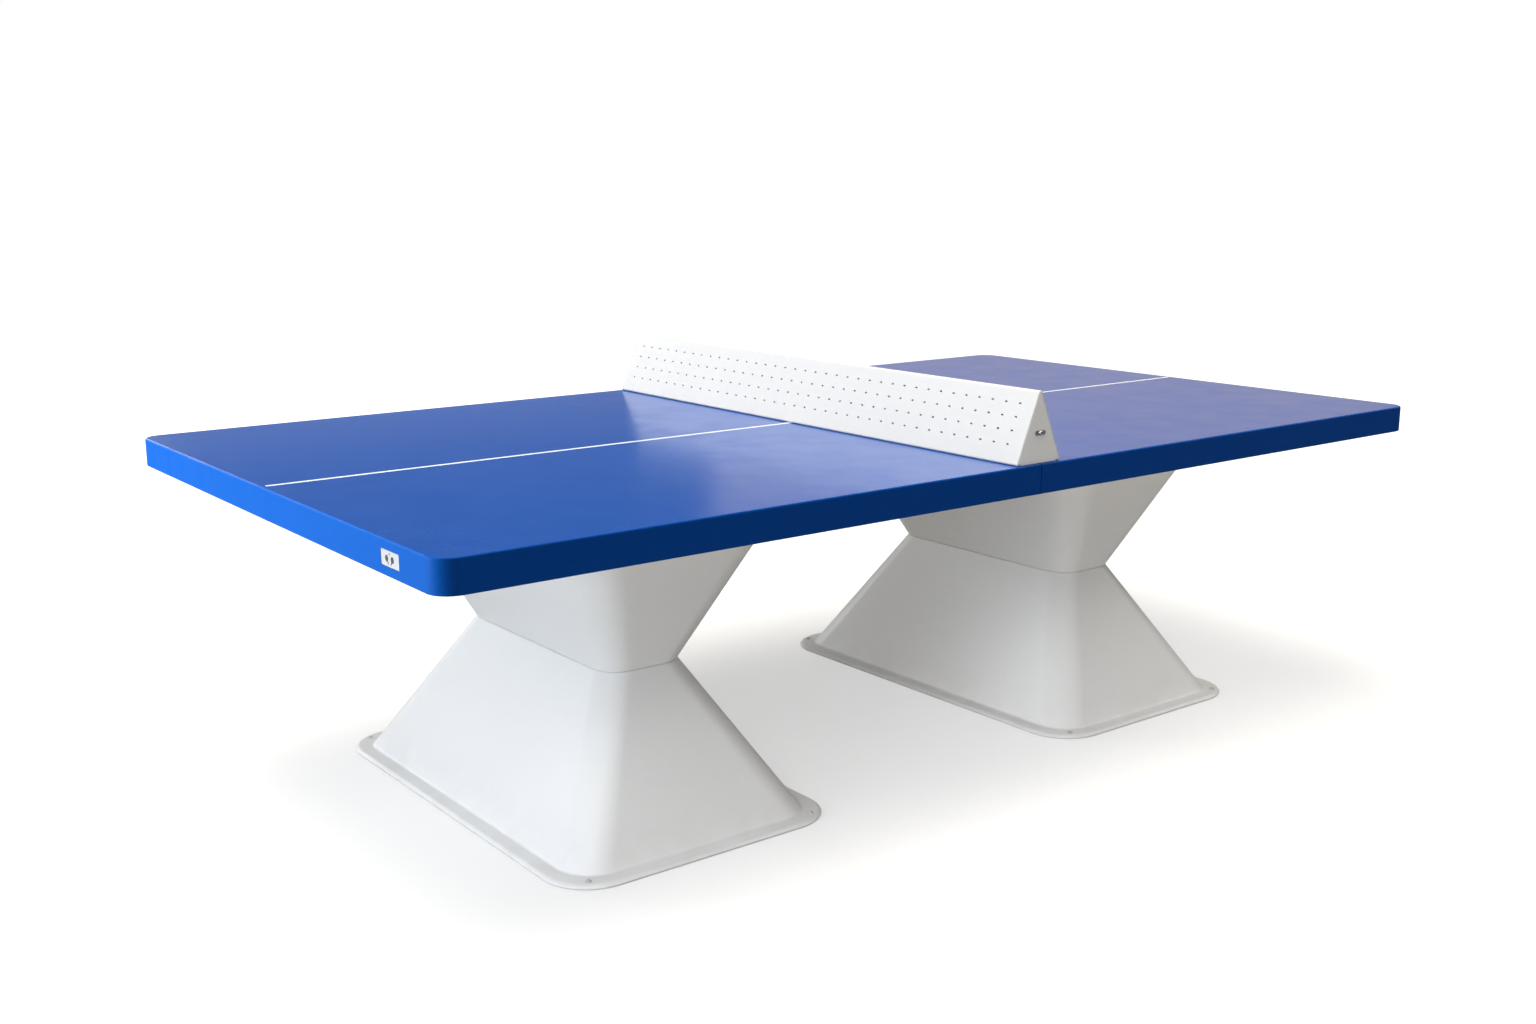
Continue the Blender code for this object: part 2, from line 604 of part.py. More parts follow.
def frame_mesh(name, outer_outset, outer_radius, opening_outset, bottom):
    top = bottom + FRAME_THICKNESS
    rings = [foot_ring(outer_outset, bottom, outer_radius),
             foot_ring(outer_outset, top, outer_radius),
             foot_ring(opening_outset, top, OPENING_RADIUS),
             foot_ring(opening_outset, bottom, OPENING_RADIUS)]
    return mesh_from_rings(name, rings, closed=True)


def corner_points(offset):
    return [(side_x * offset[0], side_y * offset[1]) for side_y in (-1, 1) for side_x in (-1, 1)]


def deck_bolt_points(side):
    return [(side * FOOT_X + x, y) for x, y in corner_points(DECK_BOLT)]


def anchor_offset():
    """Middle of the brim's corner, measured from the foot's axis."""
    centre_x = BRIM_HALF_SIZE[0] - BRIM_CORNER_RADIUS
    centre_y = BRIM_HALF_SIZE[1] - BRIM_CORNER_RADIUS
    reach = BRIM_CORNER_RADIUS - BRIM_WIDTH / 2
    return centre_x + reach * math.cos(ANCHOR_ANGLE), centre_y + reach * math.sin(ANCHOR_ANGLE)


def through_holes(points, low, high, radius):
    return [((x, y, low), (x, y, high), radius) for x, y in points]


def build_foot(label, side, meshes, materials):
    place = (side * FOOT_X, 0, 0)
    lower = add_object(f"foot_lower_shell_{label}", lower_shell_mesh(), materials["foot"], place)
    upper = add_object(f"foot_upper_shell_{label}", upper_shell_mesh(), materials["foot"], place)
    waist_mesh = frame_mesh("waist_frame", -WAIST_FRAME_INSET, WAIST_CORNER_RADIUS - WAIST_FRAME_INSET,
                            -WAIST_OPENING_INSET, WAIST_FRAME_BOTTOM)
    waist_frame = add_object(f"waist_frame_{label}", waist_mesh, materials["steel"], place)
    top_mesh = frame_mesh("top_frame", FOOT_TOP_FLARE - TOP_FRAME_INSET,
                          FOOT_TOP_CORNER_RADIUS - TOP_FRAME_INSET,
                          FOOT_TOP_FLARE - TOP_OPENING_INSET, TOP_FRAME_BOTTOM)
    top_frame = add_object(f"top_frame_{label}", top_mesh, materials["steel"], place)

    waist_points = corner_points(WAIST_BOLT)
    deck_points = corner_points(DECK_BOLT)
    anchor_points = corner_points(anchor_offset())
    waist_holes = through_holes(waist_points, WAIST_HEIGHT - FLANGE_OVERRUN, WAIST_HEIGHT + FLANGE_OVERRUN,
                                WAIST_BOLT_FORM.shank_radius)
    deck_holes = through_holes(deck_points, FOOT_TOP - FLANGE_OVERRUN, FOOT_TOP + FLANGE_OVERRUN,
                               DECK_BOLT_FORM.shank_radius)
    anchor_holes = through_holes(anchor_points, -OVERRUN, BRIM_THICKNESS + OVERRUN, ANCHOR_FORM.shank_radius)
    drill(lower, waist_holes + anchor_holes, place)
    drill(upper, waist_holes + deck_holes, place)
    drill(waist_frame, waist_holes, place)
    drill(top_frame, deck_holes, place)

    upright = (0, 0, 0)
    upside_down = (math.pi, 0, 0)
    for kind, points, seat, turn, finish in (
            ("waist_bolt", waist_points, WAIST_BOLT_SEAT, upright, "fastener"),
            ("deck_bolt", deck_points, DECK_BOLT_SEAT, upside_down, "fastener"),
            ("ground_anchor", anchor_points, ANCHOR_SEAT, upright, "net")):
        places = [(place[0] + x, y, seat) for x, y in points]
        place_fasteners(f"{kind}_{label}", meshes[kind], materials[finish], places, turn)


# ---------------------------------------------------------------- assembly

def build_table():
    clear_scene()
    materials = {
        "deck": make_material("blue_gelcoat", (0.010, 0.085, 0.420), 0.25),
        "core": make_material("core_foam", (0.55, 0.47, 0.30), 0.85),
        "panel": make_material("grey_underside", (0.42, 0.43, 0.44), 0.55),
        "line": make_material("white_line", (0.86, 0.87, 0.88), 0.35),
        "net": make_material("white_powder_coat", (0.84, 0.85, 0.86), 0.45),
        "foot": make_material("white_gelcoat", (0.80, 0.80, 0.79), 0.45),
        "steel": make_material("galvanised_steel", (0.50, 0.51, 0.52), 0.45, 1.0),
        "fastener": make_material("stainless_steel", (0.60, 0.60, 0.61), 0.30, 1.0),
        "plate": make_material("plate_aluminium", (0.78, 0.80, 0.82), 0.35, 0.6),
    }
    left_shell = build_half_top("left", -1, materials)
    build_half_top("right", 1, materials)
    build_maker_plate(left_shell, materials["plate"])
    build_seam_plates(materials)
    build_net_sheet(materials)
    build_net_end("near", -1, materials)
    build_net_end("far", 1, materials)
    meshes = {
        "waist_bolt": fastener_mesh("waist_bolt", WAIST_BOLT_FORM, True),
        "deck_bolt": fastener_mesh("deck_bolt", DECK_BOLT_FORM, True),
        "ground_anchor": fastener_mesh("ground_anchor", ANCHOR_FORM, False),
    }
    build_foot("left", -1, meshes, materials)
    build_foot("right", 1, meshes, materials)


build_table()
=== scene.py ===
"""Looks of the fixed outdoor ping pong table.

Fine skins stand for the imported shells, lines, net, plate and fasteners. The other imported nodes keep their
shape and get procedural materials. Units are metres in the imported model's frame: +X along the length,
+Y towards the far side and +Z up.
"""
import json
import math

import bmesh
import bpy
from mathutils import Matrix, Vector

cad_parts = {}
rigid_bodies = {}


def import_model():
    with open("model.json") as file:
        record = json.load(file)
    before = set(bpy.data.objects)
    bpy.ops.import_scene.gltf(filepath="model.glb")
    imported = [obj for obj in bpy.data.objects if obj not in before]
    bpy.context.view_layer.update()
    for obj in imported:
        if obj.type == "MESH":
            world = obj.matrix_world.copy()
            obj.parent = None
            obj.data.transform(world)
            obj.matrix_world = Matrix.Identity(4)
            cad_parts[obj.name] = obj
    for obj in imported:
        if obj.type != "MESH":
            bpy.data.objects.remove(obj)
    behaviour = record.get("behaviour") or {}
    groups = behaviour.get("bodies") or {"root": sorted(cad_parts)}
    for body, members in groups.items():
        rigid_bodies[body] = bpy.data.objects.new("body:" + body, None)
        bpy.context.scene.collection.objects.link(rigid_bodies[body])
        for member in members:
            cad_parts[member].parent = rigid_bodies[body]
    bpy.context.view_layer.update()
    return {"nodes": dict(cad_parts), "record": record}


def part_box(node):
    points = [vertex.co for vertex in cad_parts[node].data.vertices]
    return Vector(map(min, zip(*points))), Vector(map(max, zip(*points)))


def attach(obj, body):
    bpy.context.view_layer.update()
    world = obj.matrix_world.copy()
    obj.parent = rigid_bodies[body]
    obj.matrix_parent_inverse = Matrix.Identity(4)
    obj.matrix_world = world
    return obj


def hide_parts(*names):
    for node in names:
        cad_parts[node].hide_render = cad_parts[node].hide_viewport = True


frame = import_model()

# Camera
CAMERA_PLACE = (-2.4362, -3.0019, 1.3528)
CAMERA_HEADING = 0.9159
CAMERA_TILT = 0.2096
CAMERA_ROLL = -0.0018
CAMERA_LENS = 37.42
SENSOR_WIDTH = 36.0

# Fineness of the skins
GAP = 0.0003
CORNER_SEGMENTS = 20
ARC_SEGMENTS = 6
SMOOTH_ANGLE = math.radians(32)
FACE_WEIGHT = 100

# Half tops and what is let into them
TOP_BLUE = (0.0016, 0.0633, 0.3414)
WORN_BLUE = (0.12, 0.22, 0.50)
TOP_POLISH = 0.60
TOP_ROUGHNESS = 0.20
RIM_POLISH = 0.03
RIM_ROUGHNESS = 0.42
TOP_ARRIS = 0.004
BOTTOM_ARRIS = 0.003
SEAM_ARRIS = 0.001
SEAM_FACE_REACH = 0.003
SEAM_FACE_TURN = 0.6
DECK_CORNER = 0.045
DECK_SKIN = 0.005
DECK_WALL = 0.006
LINE_ARRIS = 0.0002
PLATE_CORNER = 0.003
PLATE_ARRIS = 0.0003
PRINT_RELIEF = 0.00015
PLATE_BATS = {"plate_bat_left": (0.013, math.radians(58)), "plate_bat_right": (-0.009, math.radians(122))}
BAT_BLADE = 0.0058
BAT_HANDLE_HALF = 0.0013
BAT_HANDLE_END = 0.0115
BAT_NECK_SPREAD = 1.6
BAT_SHOULDER = 1.15
BALL_PLACE = (0.002, 0.0085)
BALL_RADIUS = 0.0018

# Feet
BRIM_WIDTH = 0.040
BRIM_CORNER = 0.110
BRIM_LIP_WIDTH = 0.010
BRIM_LIP_HEIGHT = 0.0060
BRIM_LIP_FLATNESS = 0.45
BRIM_UNDER_ARRIS = 0.0038
BRIM_THICKNESS = 0.010
BRIM_FILLET = 0.008
BASE_CORNER = 0.080
WAIST_HALF = (0.100, 0.310)
WAIST_CORNER = 0.060
WAIST_ARRIS = 0.0025
FOOT_TOP_CORNER = 0.110
FOOT_WALL = 0.007
FLANGE = 0.006
WAIST_OPENING_INSET = 0.040
TOP_OPENING_INSET = 0.057
OPENING_CORNER = 0.020

# Net
NET_SEAT = 0.0004
NET_SHEET = 0.003
NET_RIDGE_RADIUS = 0.006
NET_LIP = 0.014
NET_BEND_RADIUS = 0.0035
NET_END_ARRIS = 0.0028
PLATE_EDGE_ARRIS = 0.0007
SLOT_RADIUS = 0.0018
SLOT_STRAIGHT = 0.0034
SLOT_ROWS = 4
SLOT_COLUMNS = 37
CELL_STEPS = 4
ROW_PITCH = 0.0297
COLUMN_PITCH = 0.0395
FIRST_ROW = 0.0433
SLOPE_STEPS = 16
LIP_STEPS = 2
CELL_CORNER_ANGLE = math.pi * 5 / 4

# Fasteners
SHANK_RADIUS = 0.004
BOLT_HOLE_RADIUS = 0.0043
NET_BOLT_HEAD = 0.0050
NET_WASHER_HEIGHT = 0.0015
ANCHOR_WASHER = 0.0068
ANCHOR_WASHER_HEIGHT = 0.0010
ANCHOR_HEAD = 0.0050
DOME_SWEEP = math.radians(58)
FASTENER_SIDES = 48
WASHER_ARRIS = 0.0003
SOCKET_SHARE = 0.42
SOCKET_DEPTH_SHARE = 0.55
ANCHOR_NUMBERS = range(1, 5)

# Floor and surroundings
FLOOR_RADIUS = 9.0
FLOOR_TONE = 0.587
FLOOR_GLOW = 0.442
FLOOR_BOUNCE = 0.35
FADE_START = 2.6
FADE_END = 6.0
ROOM_GLOW = 0.087

# Area lights: place, aim, size, power in watts, colour and what the light reaches
LIGHTS = {
    "top_soft": ((-0.6, 0.3, 4.6), (0.0, 0.0, 0.7), (5.0, 4.0), 375.0, (1.0, 0.95, 0.847), None),
    "left_near_high": ((-4.2, -3.4, 3.4), (-0.3, 0.0, 0.5), (2.6, 2.0), 140.0, (1.0, 0.987, 0.983), "rest"),
    "back_left_card": ((-1.8, 6.2, 2.0), (-0.3, 0.0, 0.8), (4.0, 2.2), 136.0, (0.978, 0.994, 1.0), None),
    "right_high": ((4.6, -1.5, 3.6), (0.5, 0.0, 0.5), (3.0, 2.4), 110.0, (1.0, 0.966, 0.925), "rest"),
    "right_tops": ((4.6, -1.5, 3.6), (0.5, 0.0, 0.5), (3.0, 2.4), 80.0, (1.0, 0.966, 0.925), "tops"),
    "left_low": ((-4.7, -0.9, 0.95), (-1.0, 0.0, 0.7), (2.6, 1.4), 86.0, (0.802, 0.891, 1.0), "rest"),
    "left_low_tops": ((-4.7, 1.3, 0.95), (-1.37, 0.0, 0.7), (2.4, 1.4), 360.0, (0.80, 1.0, 0.89), "tops"),
    "near_low": ((-1.0, -4.9, 0.50), (0.4, 0.0, 0.5), (3.4, 0.7), 20.0, (1.0, 0.95, 0.90), "stand"),
    "right_fill": ((-2.4, -2.8, 0.5), (0.6, 0.0, 0.5), (1.6, 0.8), 12.0, (1.0, 0.88, 0.76), "right"),
    "right_back_card": ((5.6, 4.4, 1.9), (0.4, 0.2, 0.8), (4.6, 2.2), 16.0, (1.0, 0.83, 0.66), None),
    "far_low": ((0.6, 6.5, 1.0), (0.0, 0.0, 0.7), (7.0, 1.2), 11.0, (1.0, 1.0, 1.0), None),
}


# ---------------------------------------------------------------- outlines and meshes

def arc(centre, radius, start, sweep, segments):
    angles = [start + sweep * step / segments for step in range(segments + 1)]
    return [(centre[0] + radius * math.cos(a), centre[1] + radius * math.sin(a)) for a in angles]


def rounded_rectangle(half_x, half_y, radius):
    points = []
    for quarter, (side_x, side_y) in enumerate(((1, 1), (-1, 1), (-1, -1), (1, -1))):
        centre = (side_x * (half_x - radius), side_y * (half_y - radius))
        points += arc(centre, radius, quarter * math.pi / 2, math.pi / 2, CORNER_SEGMENTS)
    return points


def quarter_round():
    """Steps round an arris as the shares that it has rolled in and risen."""
    angles = [math.pi / 2 * step / ARC_SEGMENTS for step in range(ARC_SEGMENTS + 1)]
    return [(1 - math.cos(a), math.sin(a)) for a in angles]


def at_height(outline, height):
    return [(x, y, height) for x, y in outline]


def mesh_from_rings(name, rings, closed=False):
    """Skin a list of equal rings; closed joins the last ring to the first, otherwise both ends are capped."""
    build = bmesh.new()
    loops = [[build.verts.new(point) for point in ring] for ring in rings]
    pairs = list(zip(loops, loops[1:]))
    if closed:
        pairs.append((loops[-1], loops[0]))
    for lower, upper in pairs:
        count = len(lower)
        for index in range(count):
            following = (index + 1) % count
            build.faces.new((lower[index], lower[following], upper[following], upper[index]))
    if not closed:
        build.faces.new(loops[0])
        build.faces.new(loops[-1])
    bmesh.ops.recalc_face_normals(build, faces=build.faces)
    mesh = bpy.data.meshes.new(name)
    build.to_mesh(mesh)
    build.free()
    return mesh


def smooth(piece):
    """Shade round edges smooth while the broad faces beside them stay flat."""
    piece.data.shade_smooth()
    piece.data.set_sharp_from_angle(angle=SMOOTH_ANGLE)
    weighting = piece.modifiers.new("broad_faces", "WEIGHTED_NORMAL")
    weighting.mode = "FACE_AREA"
    weighting.weight = FACE_WEIGHT
    weighting.keep_sharp = True


def add_piece(name, mesh, material, slot, *replaced):
    piece = bpy.data.objects.new(name, mesh)
    bpy.context.scene.collection.objects.link(piece)
    mesh.materials.append(material)
    smooth(piece)
    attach(piece, "root")
    if replaced:
        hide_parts(*replaced)
    return piece


def carve(piece, cutter_mesh):
    """Cut the piece with a closed mesh and keep the result as its own mesh."""
    cutter = bpy.data.objects.new("cutter", cutter_mesh)
    bpy.context.scene.collection.objects.link(cutter)
    piece.modifiers.clear()
    modifier = piece.modifiers.new("carve", "BOOLEAN")
    modifier.operation = "DIFFERENCE"
    modifier.solver = "EXACT"
    modifier.object = cutter
    evaluated = piece.evaluated_get(bpy.context.evaluated_depsgraph_get())
    piece.data = bpy.data.meshes.new_from_object(evaluated)
    piece.modifiers.clear()
    bpy.data.objects.remove(cutter)
    smooth(piece)


def box_centre(node):
    low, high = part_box(node)
    return (low + high) / 2


# ---------------------------------------------------------------- materials

def add_node(tree, kind, inputs=None, **settings):
    """Add a shader node, set its properties, and link or set its inputs."""
    node = tree.nodes.new(kind)
    for key, value in settings.items():
        setattr(node, key, value)
    for key, value in (inputs or {}).items():
        if isinstance(value, bpy.types.NodeSocket):
            tree.links.new(value, node.inputs[key])
        else:
            node.inputs[key].default_value = value
    return node


def start_material(name, roughness, metallic=0.0):
    material = bpy.data.materials.new(name)
    material.use_nodes = True
    shader = material.node_tree.nodes["Principled BSDF"]
    shader.inputs["Roughness"].default_value = roughness
    shader.inputs["Metallic"].default_value = metallic
    return material, material.node_tree, shader


def object_place(tree, stretch=(1, 1, 1)):
    place = add_node(tree, "ShaderNodeTexCoord").outputs["Object"]
    return add_node(tree, "ShaderNodeMapping", {"Vector": place, "Scale": stretch}).outputs["Vector"]


def noise(tree, scale, detail=2.0, stretch=(1, 1, 1)):
    """Noise with a number of features per metre, from 0 to 1."""
    inputs = {"Vector": object_place(tree, stretch), "Scale": scale, "Detail": detail}
    return add_node(tree, "ShaderNodeTexNoise", inputs).outputs["Fac"]


def remap(tree, value, low, high, new_low, new_high):
    return add_node(tree, "ShaderNodeMapRange", {
        "Value": value, "From Min": low, "From Max": high, "To Min": new_low, "To Max": new_high,
    }).outputs["Result"]


def combine(tree, operation, first, second):
    return add_node(tree, "ShaderNodeMath", {0: first, 1: second}, operation=operation).outputs["Value"]


def mix_colours(tree, factor, first, second):
    """Colours are RGB triples or sockets."""
    inputs = {"Factor": factor}
    for key, colour in ((6, first), (7, second)):
        inputs[key] = colour if isinstance(colour, bpy.types.NodeSocket) else (*colour, 1.0)
    return add_node(tree, "ShaderNodeMix", inputs, data_type="RGBA").outputs[2]


def shade(colour, share):
    return tuple(channel * share for channel in colour)


def set_bump(tree, shader, layers):
    """Chain bump layers given as (height socket, distance in metres)."""
    normal = None
    for height, distance in layers:
        inputs = {"Height": height, "Distance": distance, "Strength": 1.0}
        if normal is not None:
            inputs["Normal"] = normal
        normal = add_node(tree, "ShaderNodeBump", inputs).outputs["Normal"]
    tree.links.new(normal, shader.inputs["Normal"])


def scratches(tree, along):
    """A mask of sparse fine scratches, drawn out along X or Y."""
    stretch = (0.03, 1, 1) if along == "x" else (1, 0.03, 1)
    lines = noise(tree, 420, 2.0, stretch)
    patches = noise(tree, 3.1, 2.0)
    thin = remap(tree, lines, 0.66, 0.70, 0.0, 1.0)
    where = remap(tree, patches, 0.50, 0.66, 0.0, 1.0)
    return combine(tree, "MULTIPLY", thin, where)


def make_blue_gelcoat(name, polish, roughness):
    """Blue gelcoat: faint mottling, soft ball marks, hairline scratches and a slight orange peel."""
    material, tree, shader = start_material(name, roughness)
    shader.inputs["Specular IOR Level"].default_value = polish
    broad = noise(tree, 1.7, 3.0)
    base = mix_colours(tree, broad, shade(TOP_BLUE, 0.94), shade(TOP_BLUE, 1.06))
    grain = remap(tree, noise(tree, 140, 2.0), 0.35, 0.65, 0.0, 0.05)
    base = mix_colours(tree, grain, base, shade(TOP_BLUE, 1.5))
    place = object_place(tree)
    marks = add_node(tree, "ShaderNodeTexVoronoi", {"Vector": place, "Scale": 9.0, "Randomness": 1.0})
    ring = remap(tree, marks.outputs["Distance"], 0.13, 0.06, 0.0, 1.0)
    rare = remap(tree, noise(tree, 2.3, 1.0), 0.52, 0.68, 0.0, 1.0)
    ball_marks = combine(tree, "MULTIPLY", ring, rare)
    hairlines = combine(tree, "ADD", scratches(tree, "x"), scratches(tree, "y"))
    worn = combine(tree, "ADD", combine(tree, "MULTIPLY", ball_marks, 0.03),
                   combine(tree, "MULTIPLY", hairlines, 0.05))
    base = mix_colours(tree, worn, base, WORN_BLUE)
    tree.links.new(base, shader.inputs["Base Color"])
    rough = remap(tree, noise(tree, 11, 4.0), 0.3, 0.7, roughness * 0.87, roughness * 1.13)
    tree.links.new(combine(tree, "ADD", rough, worn), shader.inputs["Roughness"])
    set_bump(tree, shader, [(noise(tree, 2.6, 1.0), 0.0002), (noise(tree, 240, 1.0), 0.000012)])
    return material


def make_white_gelcoat():
    """Moulded white shell: satin, faintly uneven, with light dust towards the ground."""
    material, tree, shader = start_material("white_gelcoat_fine", 0.42)
    white = (0.86, 0.86, 0.855)
    base = mix_colours(tree, noise(tree, 2.2, 3.0), shade(white, 0.965), shade(white, 1.02))
    fine = remap(tree, noise(tree, 60, 3.0), 0.4, 0.7, 0.0, 0.05)
    base = mix_colours(tree, fine, base, (0.70, 0.69, 0.66))
    place = add_node(tree, "ShaderNodeTexCoord").outputs["Object"]
    height = add_node(tree, "ShaderNodeSeparateXYZ", {"Vector": place}).outputs["Z"]
    low = remap(tree, height, 0.09, 0.0, 0.0, 1.0)
    dust = combine(tree, "MULTIPLY", low, remap(tree, noise(tree, 16, 4.0), 0.35, 0.7, 0.0, 0.16))
    base = mix_colours(tree, dust, base, (0.55, 0.53, 0.49))
    tree.links.new(base, shader.inputs["Base Color"])
    rough = remap(tree, noise(tree, 9, 3.0), 0.3, 0.7, 0.36, 0.48)
    tree.links.new(combine(tree, "ADD", rough, dust), shader.inputs["Roughness"])
    set_bump(tree, shader, [(noise(tree, 4.0, 1.0), 0.0012), (noise(tree, 190, 2.0), 0.00002)])
    return material


def make_powder_coat():
    """White powder coat with its fine pebbled texture."""
    material, tree, shader = start_material("white_powder_coat_fine", 0.42)
    white = (0.53, 0.535, 0.54)
    base = mix_colours(tree, noise(tree, 5.0, 3.0), shade(white, 0.97), shade(white, 1.015))
    tree.links.new(base, shader.inputs["Base Color"])
    rough = remap(tree, noise(tree, 24, 3.0), 0.3, 0.7, 0.37, 0.46)
    tree.links.new(rough, shader.inputs["Roughness"])
    set_bump(tree, shader, [(noise(tree, 700, 2.0), 0.00003)])
    return material


def make_line_white():
    """Satin white line, a little scuffed where the ball lands."""
    material, tree, shader = start_material("line_white_fine", 0.35)
    white = (0.66, 0.70, 0.75)
    scuff = remap(tree, noise(tree, 70, 4.0), 0.52, 0.75, 0.0, 0.18)
    tree.links.new(mix_colours(tree, scuff, white, (0.46, 0.52, 0.64)), shader.inputs["Base Color"])
    tree.links.new(remap(tree, noise(tree, 35, 2.0), 0.3, 0.7, 0.28, 0.42), shader.inputs["Roughness"])
    set_bump(tree, shader, [(noise(tree, 300, 2.0), 0.00003)])
    return material


def make_underside():
    """Grey laminate with the print of its fibres."""
    material, tree, shader = start_material("grey_underside_fine", 0.55)
    grey = (0.42, 0.43, 0.44)
    strands = noise(tree, 160, 3.0, (0.12, 1, 1))
    crossed = noise(tree, 160, 3.0, (1, 0.12, 1))
    fibres = combine(tree, "ADD", strands, crossed)
    tone = remap(tree, fibres, 0.75, 1.25, 0.0, 1.0)
    tree.links.new(mix_colours(tree, tone, shade(grey, 0.86), shade(grey, 1.10)), shader.inputs["Base Color"])
    tree.links.new(remap(tree, noise(tree, 12, 3.0), 0.3, 0.7, 0.48, 0.62), shader.inputs["Roughness"])
    set_bump(tree, shader, [(fibres, 0.00015)])
    return material


def make_foam():
    """Closed-cell core foam."""
    material, tree, shader = start_material("core_foam_fine", 0.85)
    place = object_place(tree)
    cells = add_node(tree, "ShaderNodeTexVoronoi", {"Vector": place, "Scale": 420.0}).outputs["Distance"]
    tone = remap(tree, cells, 0.0, 0.7, 0.0, 1.0)
    base = mix_colours(tree, tone, (0.45, 0.38, 0.24), (0.60, 0.52, 0.34))
    tree.links.new(base, shader.inputs["Base Color"])
    set_bump(tree, shader, [(cells, 0.0004)])
    return material


def make_galvanised():
    """Galvanised steel with soft spangle."""
    material, tree, shader = start_material("galvanised_steel_fine", 0.45, 1.0)
    place = object_place(tree)
    spangle = add_node(tree, "ShaderNodeTexVoronoi", {"Vector": place, "Scale": 110.0}).outputs["Color"]
    tone = add_node(tree, "ShaderNodeSeparateXYZ", {"Vector": spangle}).outputs["X"]
    base = mix_colours(tree, tone, (0.42, 0.43, 0.45), (0.58, 0.59, 0.60))
    tree.links.new(base, shader.inputs["Base Color"])
    tree.links.new(remap(tree, tone, 0.0, 1.0, 0.34, 0.52), shader.inputs["Roughness"])
    set_bump(tree, shader, [(noise(tree, 90, 3.0), 0.00006)])
    return material


def make_stainless():
    """Turned stainless steel with fine tooling marks."""
    material, tree, shader = start_material("stainless_steel_fine", 0.28, 1.0)
    tone = noise(tree, 500, 3.0)
    base = mix_colours(tree, tone, (0.36, 0.36, 0.365), (0.46, 0.46, 0.47))
    tree.links.new(base, shader.inputs["Base Color"])
    tree.links.new(remap(tree, noise(tree, 900, 3.0), 0.3, 0.7, 0.22, 0.36), shader.inputs["Roughness"])
    set_bump(tree, shader, [(noise(tree, 1400, 2.0, (1, 1, 0.1)), 0.00001)])
    return material


def make_seam_coat_and_shade():
    """Dark sealing coat on the faces that meet at the seam, made near black so that it also paints the shade
    in the seam gap.
    """
    material, tree, shader = start_material("seam_coat_and_painted_shade", 0.7)
    # Near-black colour: the sealant's own dark tone and painted shade of the narrow seam gap.
    base = mix_colours(tree, noise(tree, 60, 2.0), (0.008, 0.010, 0.016), (0.016, 0.020, 0.030))
    tree.links.new(base, shader.inputs["Base Color"])
    set_bump(tree, shader, [(noise(tree, 300, 2.0), 0.00002)])
    return material


def make_plate_metal():
    """Satin aluminium brushed along its length."""
    material, tree, shader = start_material("plate_aluminium_fine", 0.36, 0.4)
    brushed = noise(tree, 2600, 2.0, (1, 0.04, 1))
    base = mix_colours(tree, brushed, (0.78, 0.80, 0.82), (0.90, 0.91, 0.92))
    tree.links.new(base, shader.inputs["Base Color"])
    tree.links.new(remap(tree, brushed, 0.3, 0.7, 0.30, 0.44), shader.inputs["Roughness"])
    set_bump(tree, shader, [(brushed, 0.000006)])
    return material


def make_plate_ink():
    """Dark grey print on the plate."""
    material, tree, shader = start_material("plate_ink_fine", 0.5)
    tone = noise(tree, 900, 3.0)
    base = mix_colours(tree, tone, (0.045, 0.05, 0.06), (0.08, 0.09, 0.10))
    tree.links.new(base, shader.inputs["Base Color"])
    tree.links.new(remap(tree, tone, 0.3, 0.7, 0.42, 0.58), shader.inputs["Roughness"])
    return material


def make_floor_material():
    """Pale studio floor that turns to plain white with distance, and throws back only a little light."""
    material, tree, shader = start_material("floor_pale", 0.9)
    pale = (FLOOR_TONE, FLOOR_TONE, FLOOR_TONE)
    base = mix_colours(tree, noise(tree, 0.6, 2.0), shade(pale, 0.985), pale)
    tree.links.new(base, shader.inputs["Base Color"])
    tree.links.new(remap(tree, noise(tree, 4.0, 2.0), 0.3, 0.7, 0.85, 0.95), shader.inputs["Roughness"])
    place = add_node(tree, "ShaderNodeTexCoord").outputs["Object"]
    distance = add_node(tree, "ShaderNodeVectorMath", {0: place}, operation="LENGTH").outputs["Value"]
    shader.inputs["Emission Color"].default_value = (1.0, 1.0, 1.0, 1.0)
    glow = remap(tree, distance, FADE_START, FADE_END, FLOOR_GLOW, 1.0)
    tree.links.new(glow, shader.inputs["Emission Strength"])
    dim = (FLOOR_BOUNCE, FLOOR_BOUNCE, FLOOR_BOUNCE, 1.0)
    bounce = add_node(tree, "ShaderNodeBsdfDiffuse", {"Color": dim})
    path = add_node(tree, "ShaderNodeLightPath")
    mix = add_node(tree, "ShaderNodeMixShader", {0: path.outputs["Is Camera Ray"],
                                                 1: bounce.outputs["BSDF"], 2: shader.outputs["BSDF"]})
    tree.links.new(mix.outputs["Shader"], tree.nodes["Material Output"].inputs["Surface"])
    return material


# ---------------------------------------------------------------- half tops

def half_top_outline(side, outer_inset, seam_inset, seam_x, end_x, half_width):
    """Plan of one half top from its seam round its outer corners; side is -1 for left, +1 for right."""
    radius = DECK_CORNER - outer_inset
    reach = end_x - outer_inset
    half = half_width - outer_inset
    points = [(seam_x + seam_inset, -half)]
    points += arc((reach - radius, -half + radius), radius, -math.pi / 2, math.pi / 2, CORNER_SEGMENTS)
    points += arc((reach - radius, half - radius), radius, 0.0, math.pi / 2, CORNER_SEGMENTS)
    points.append((seam_x + seam_inset, half))
    return [(side * x, y) for x, y in points]


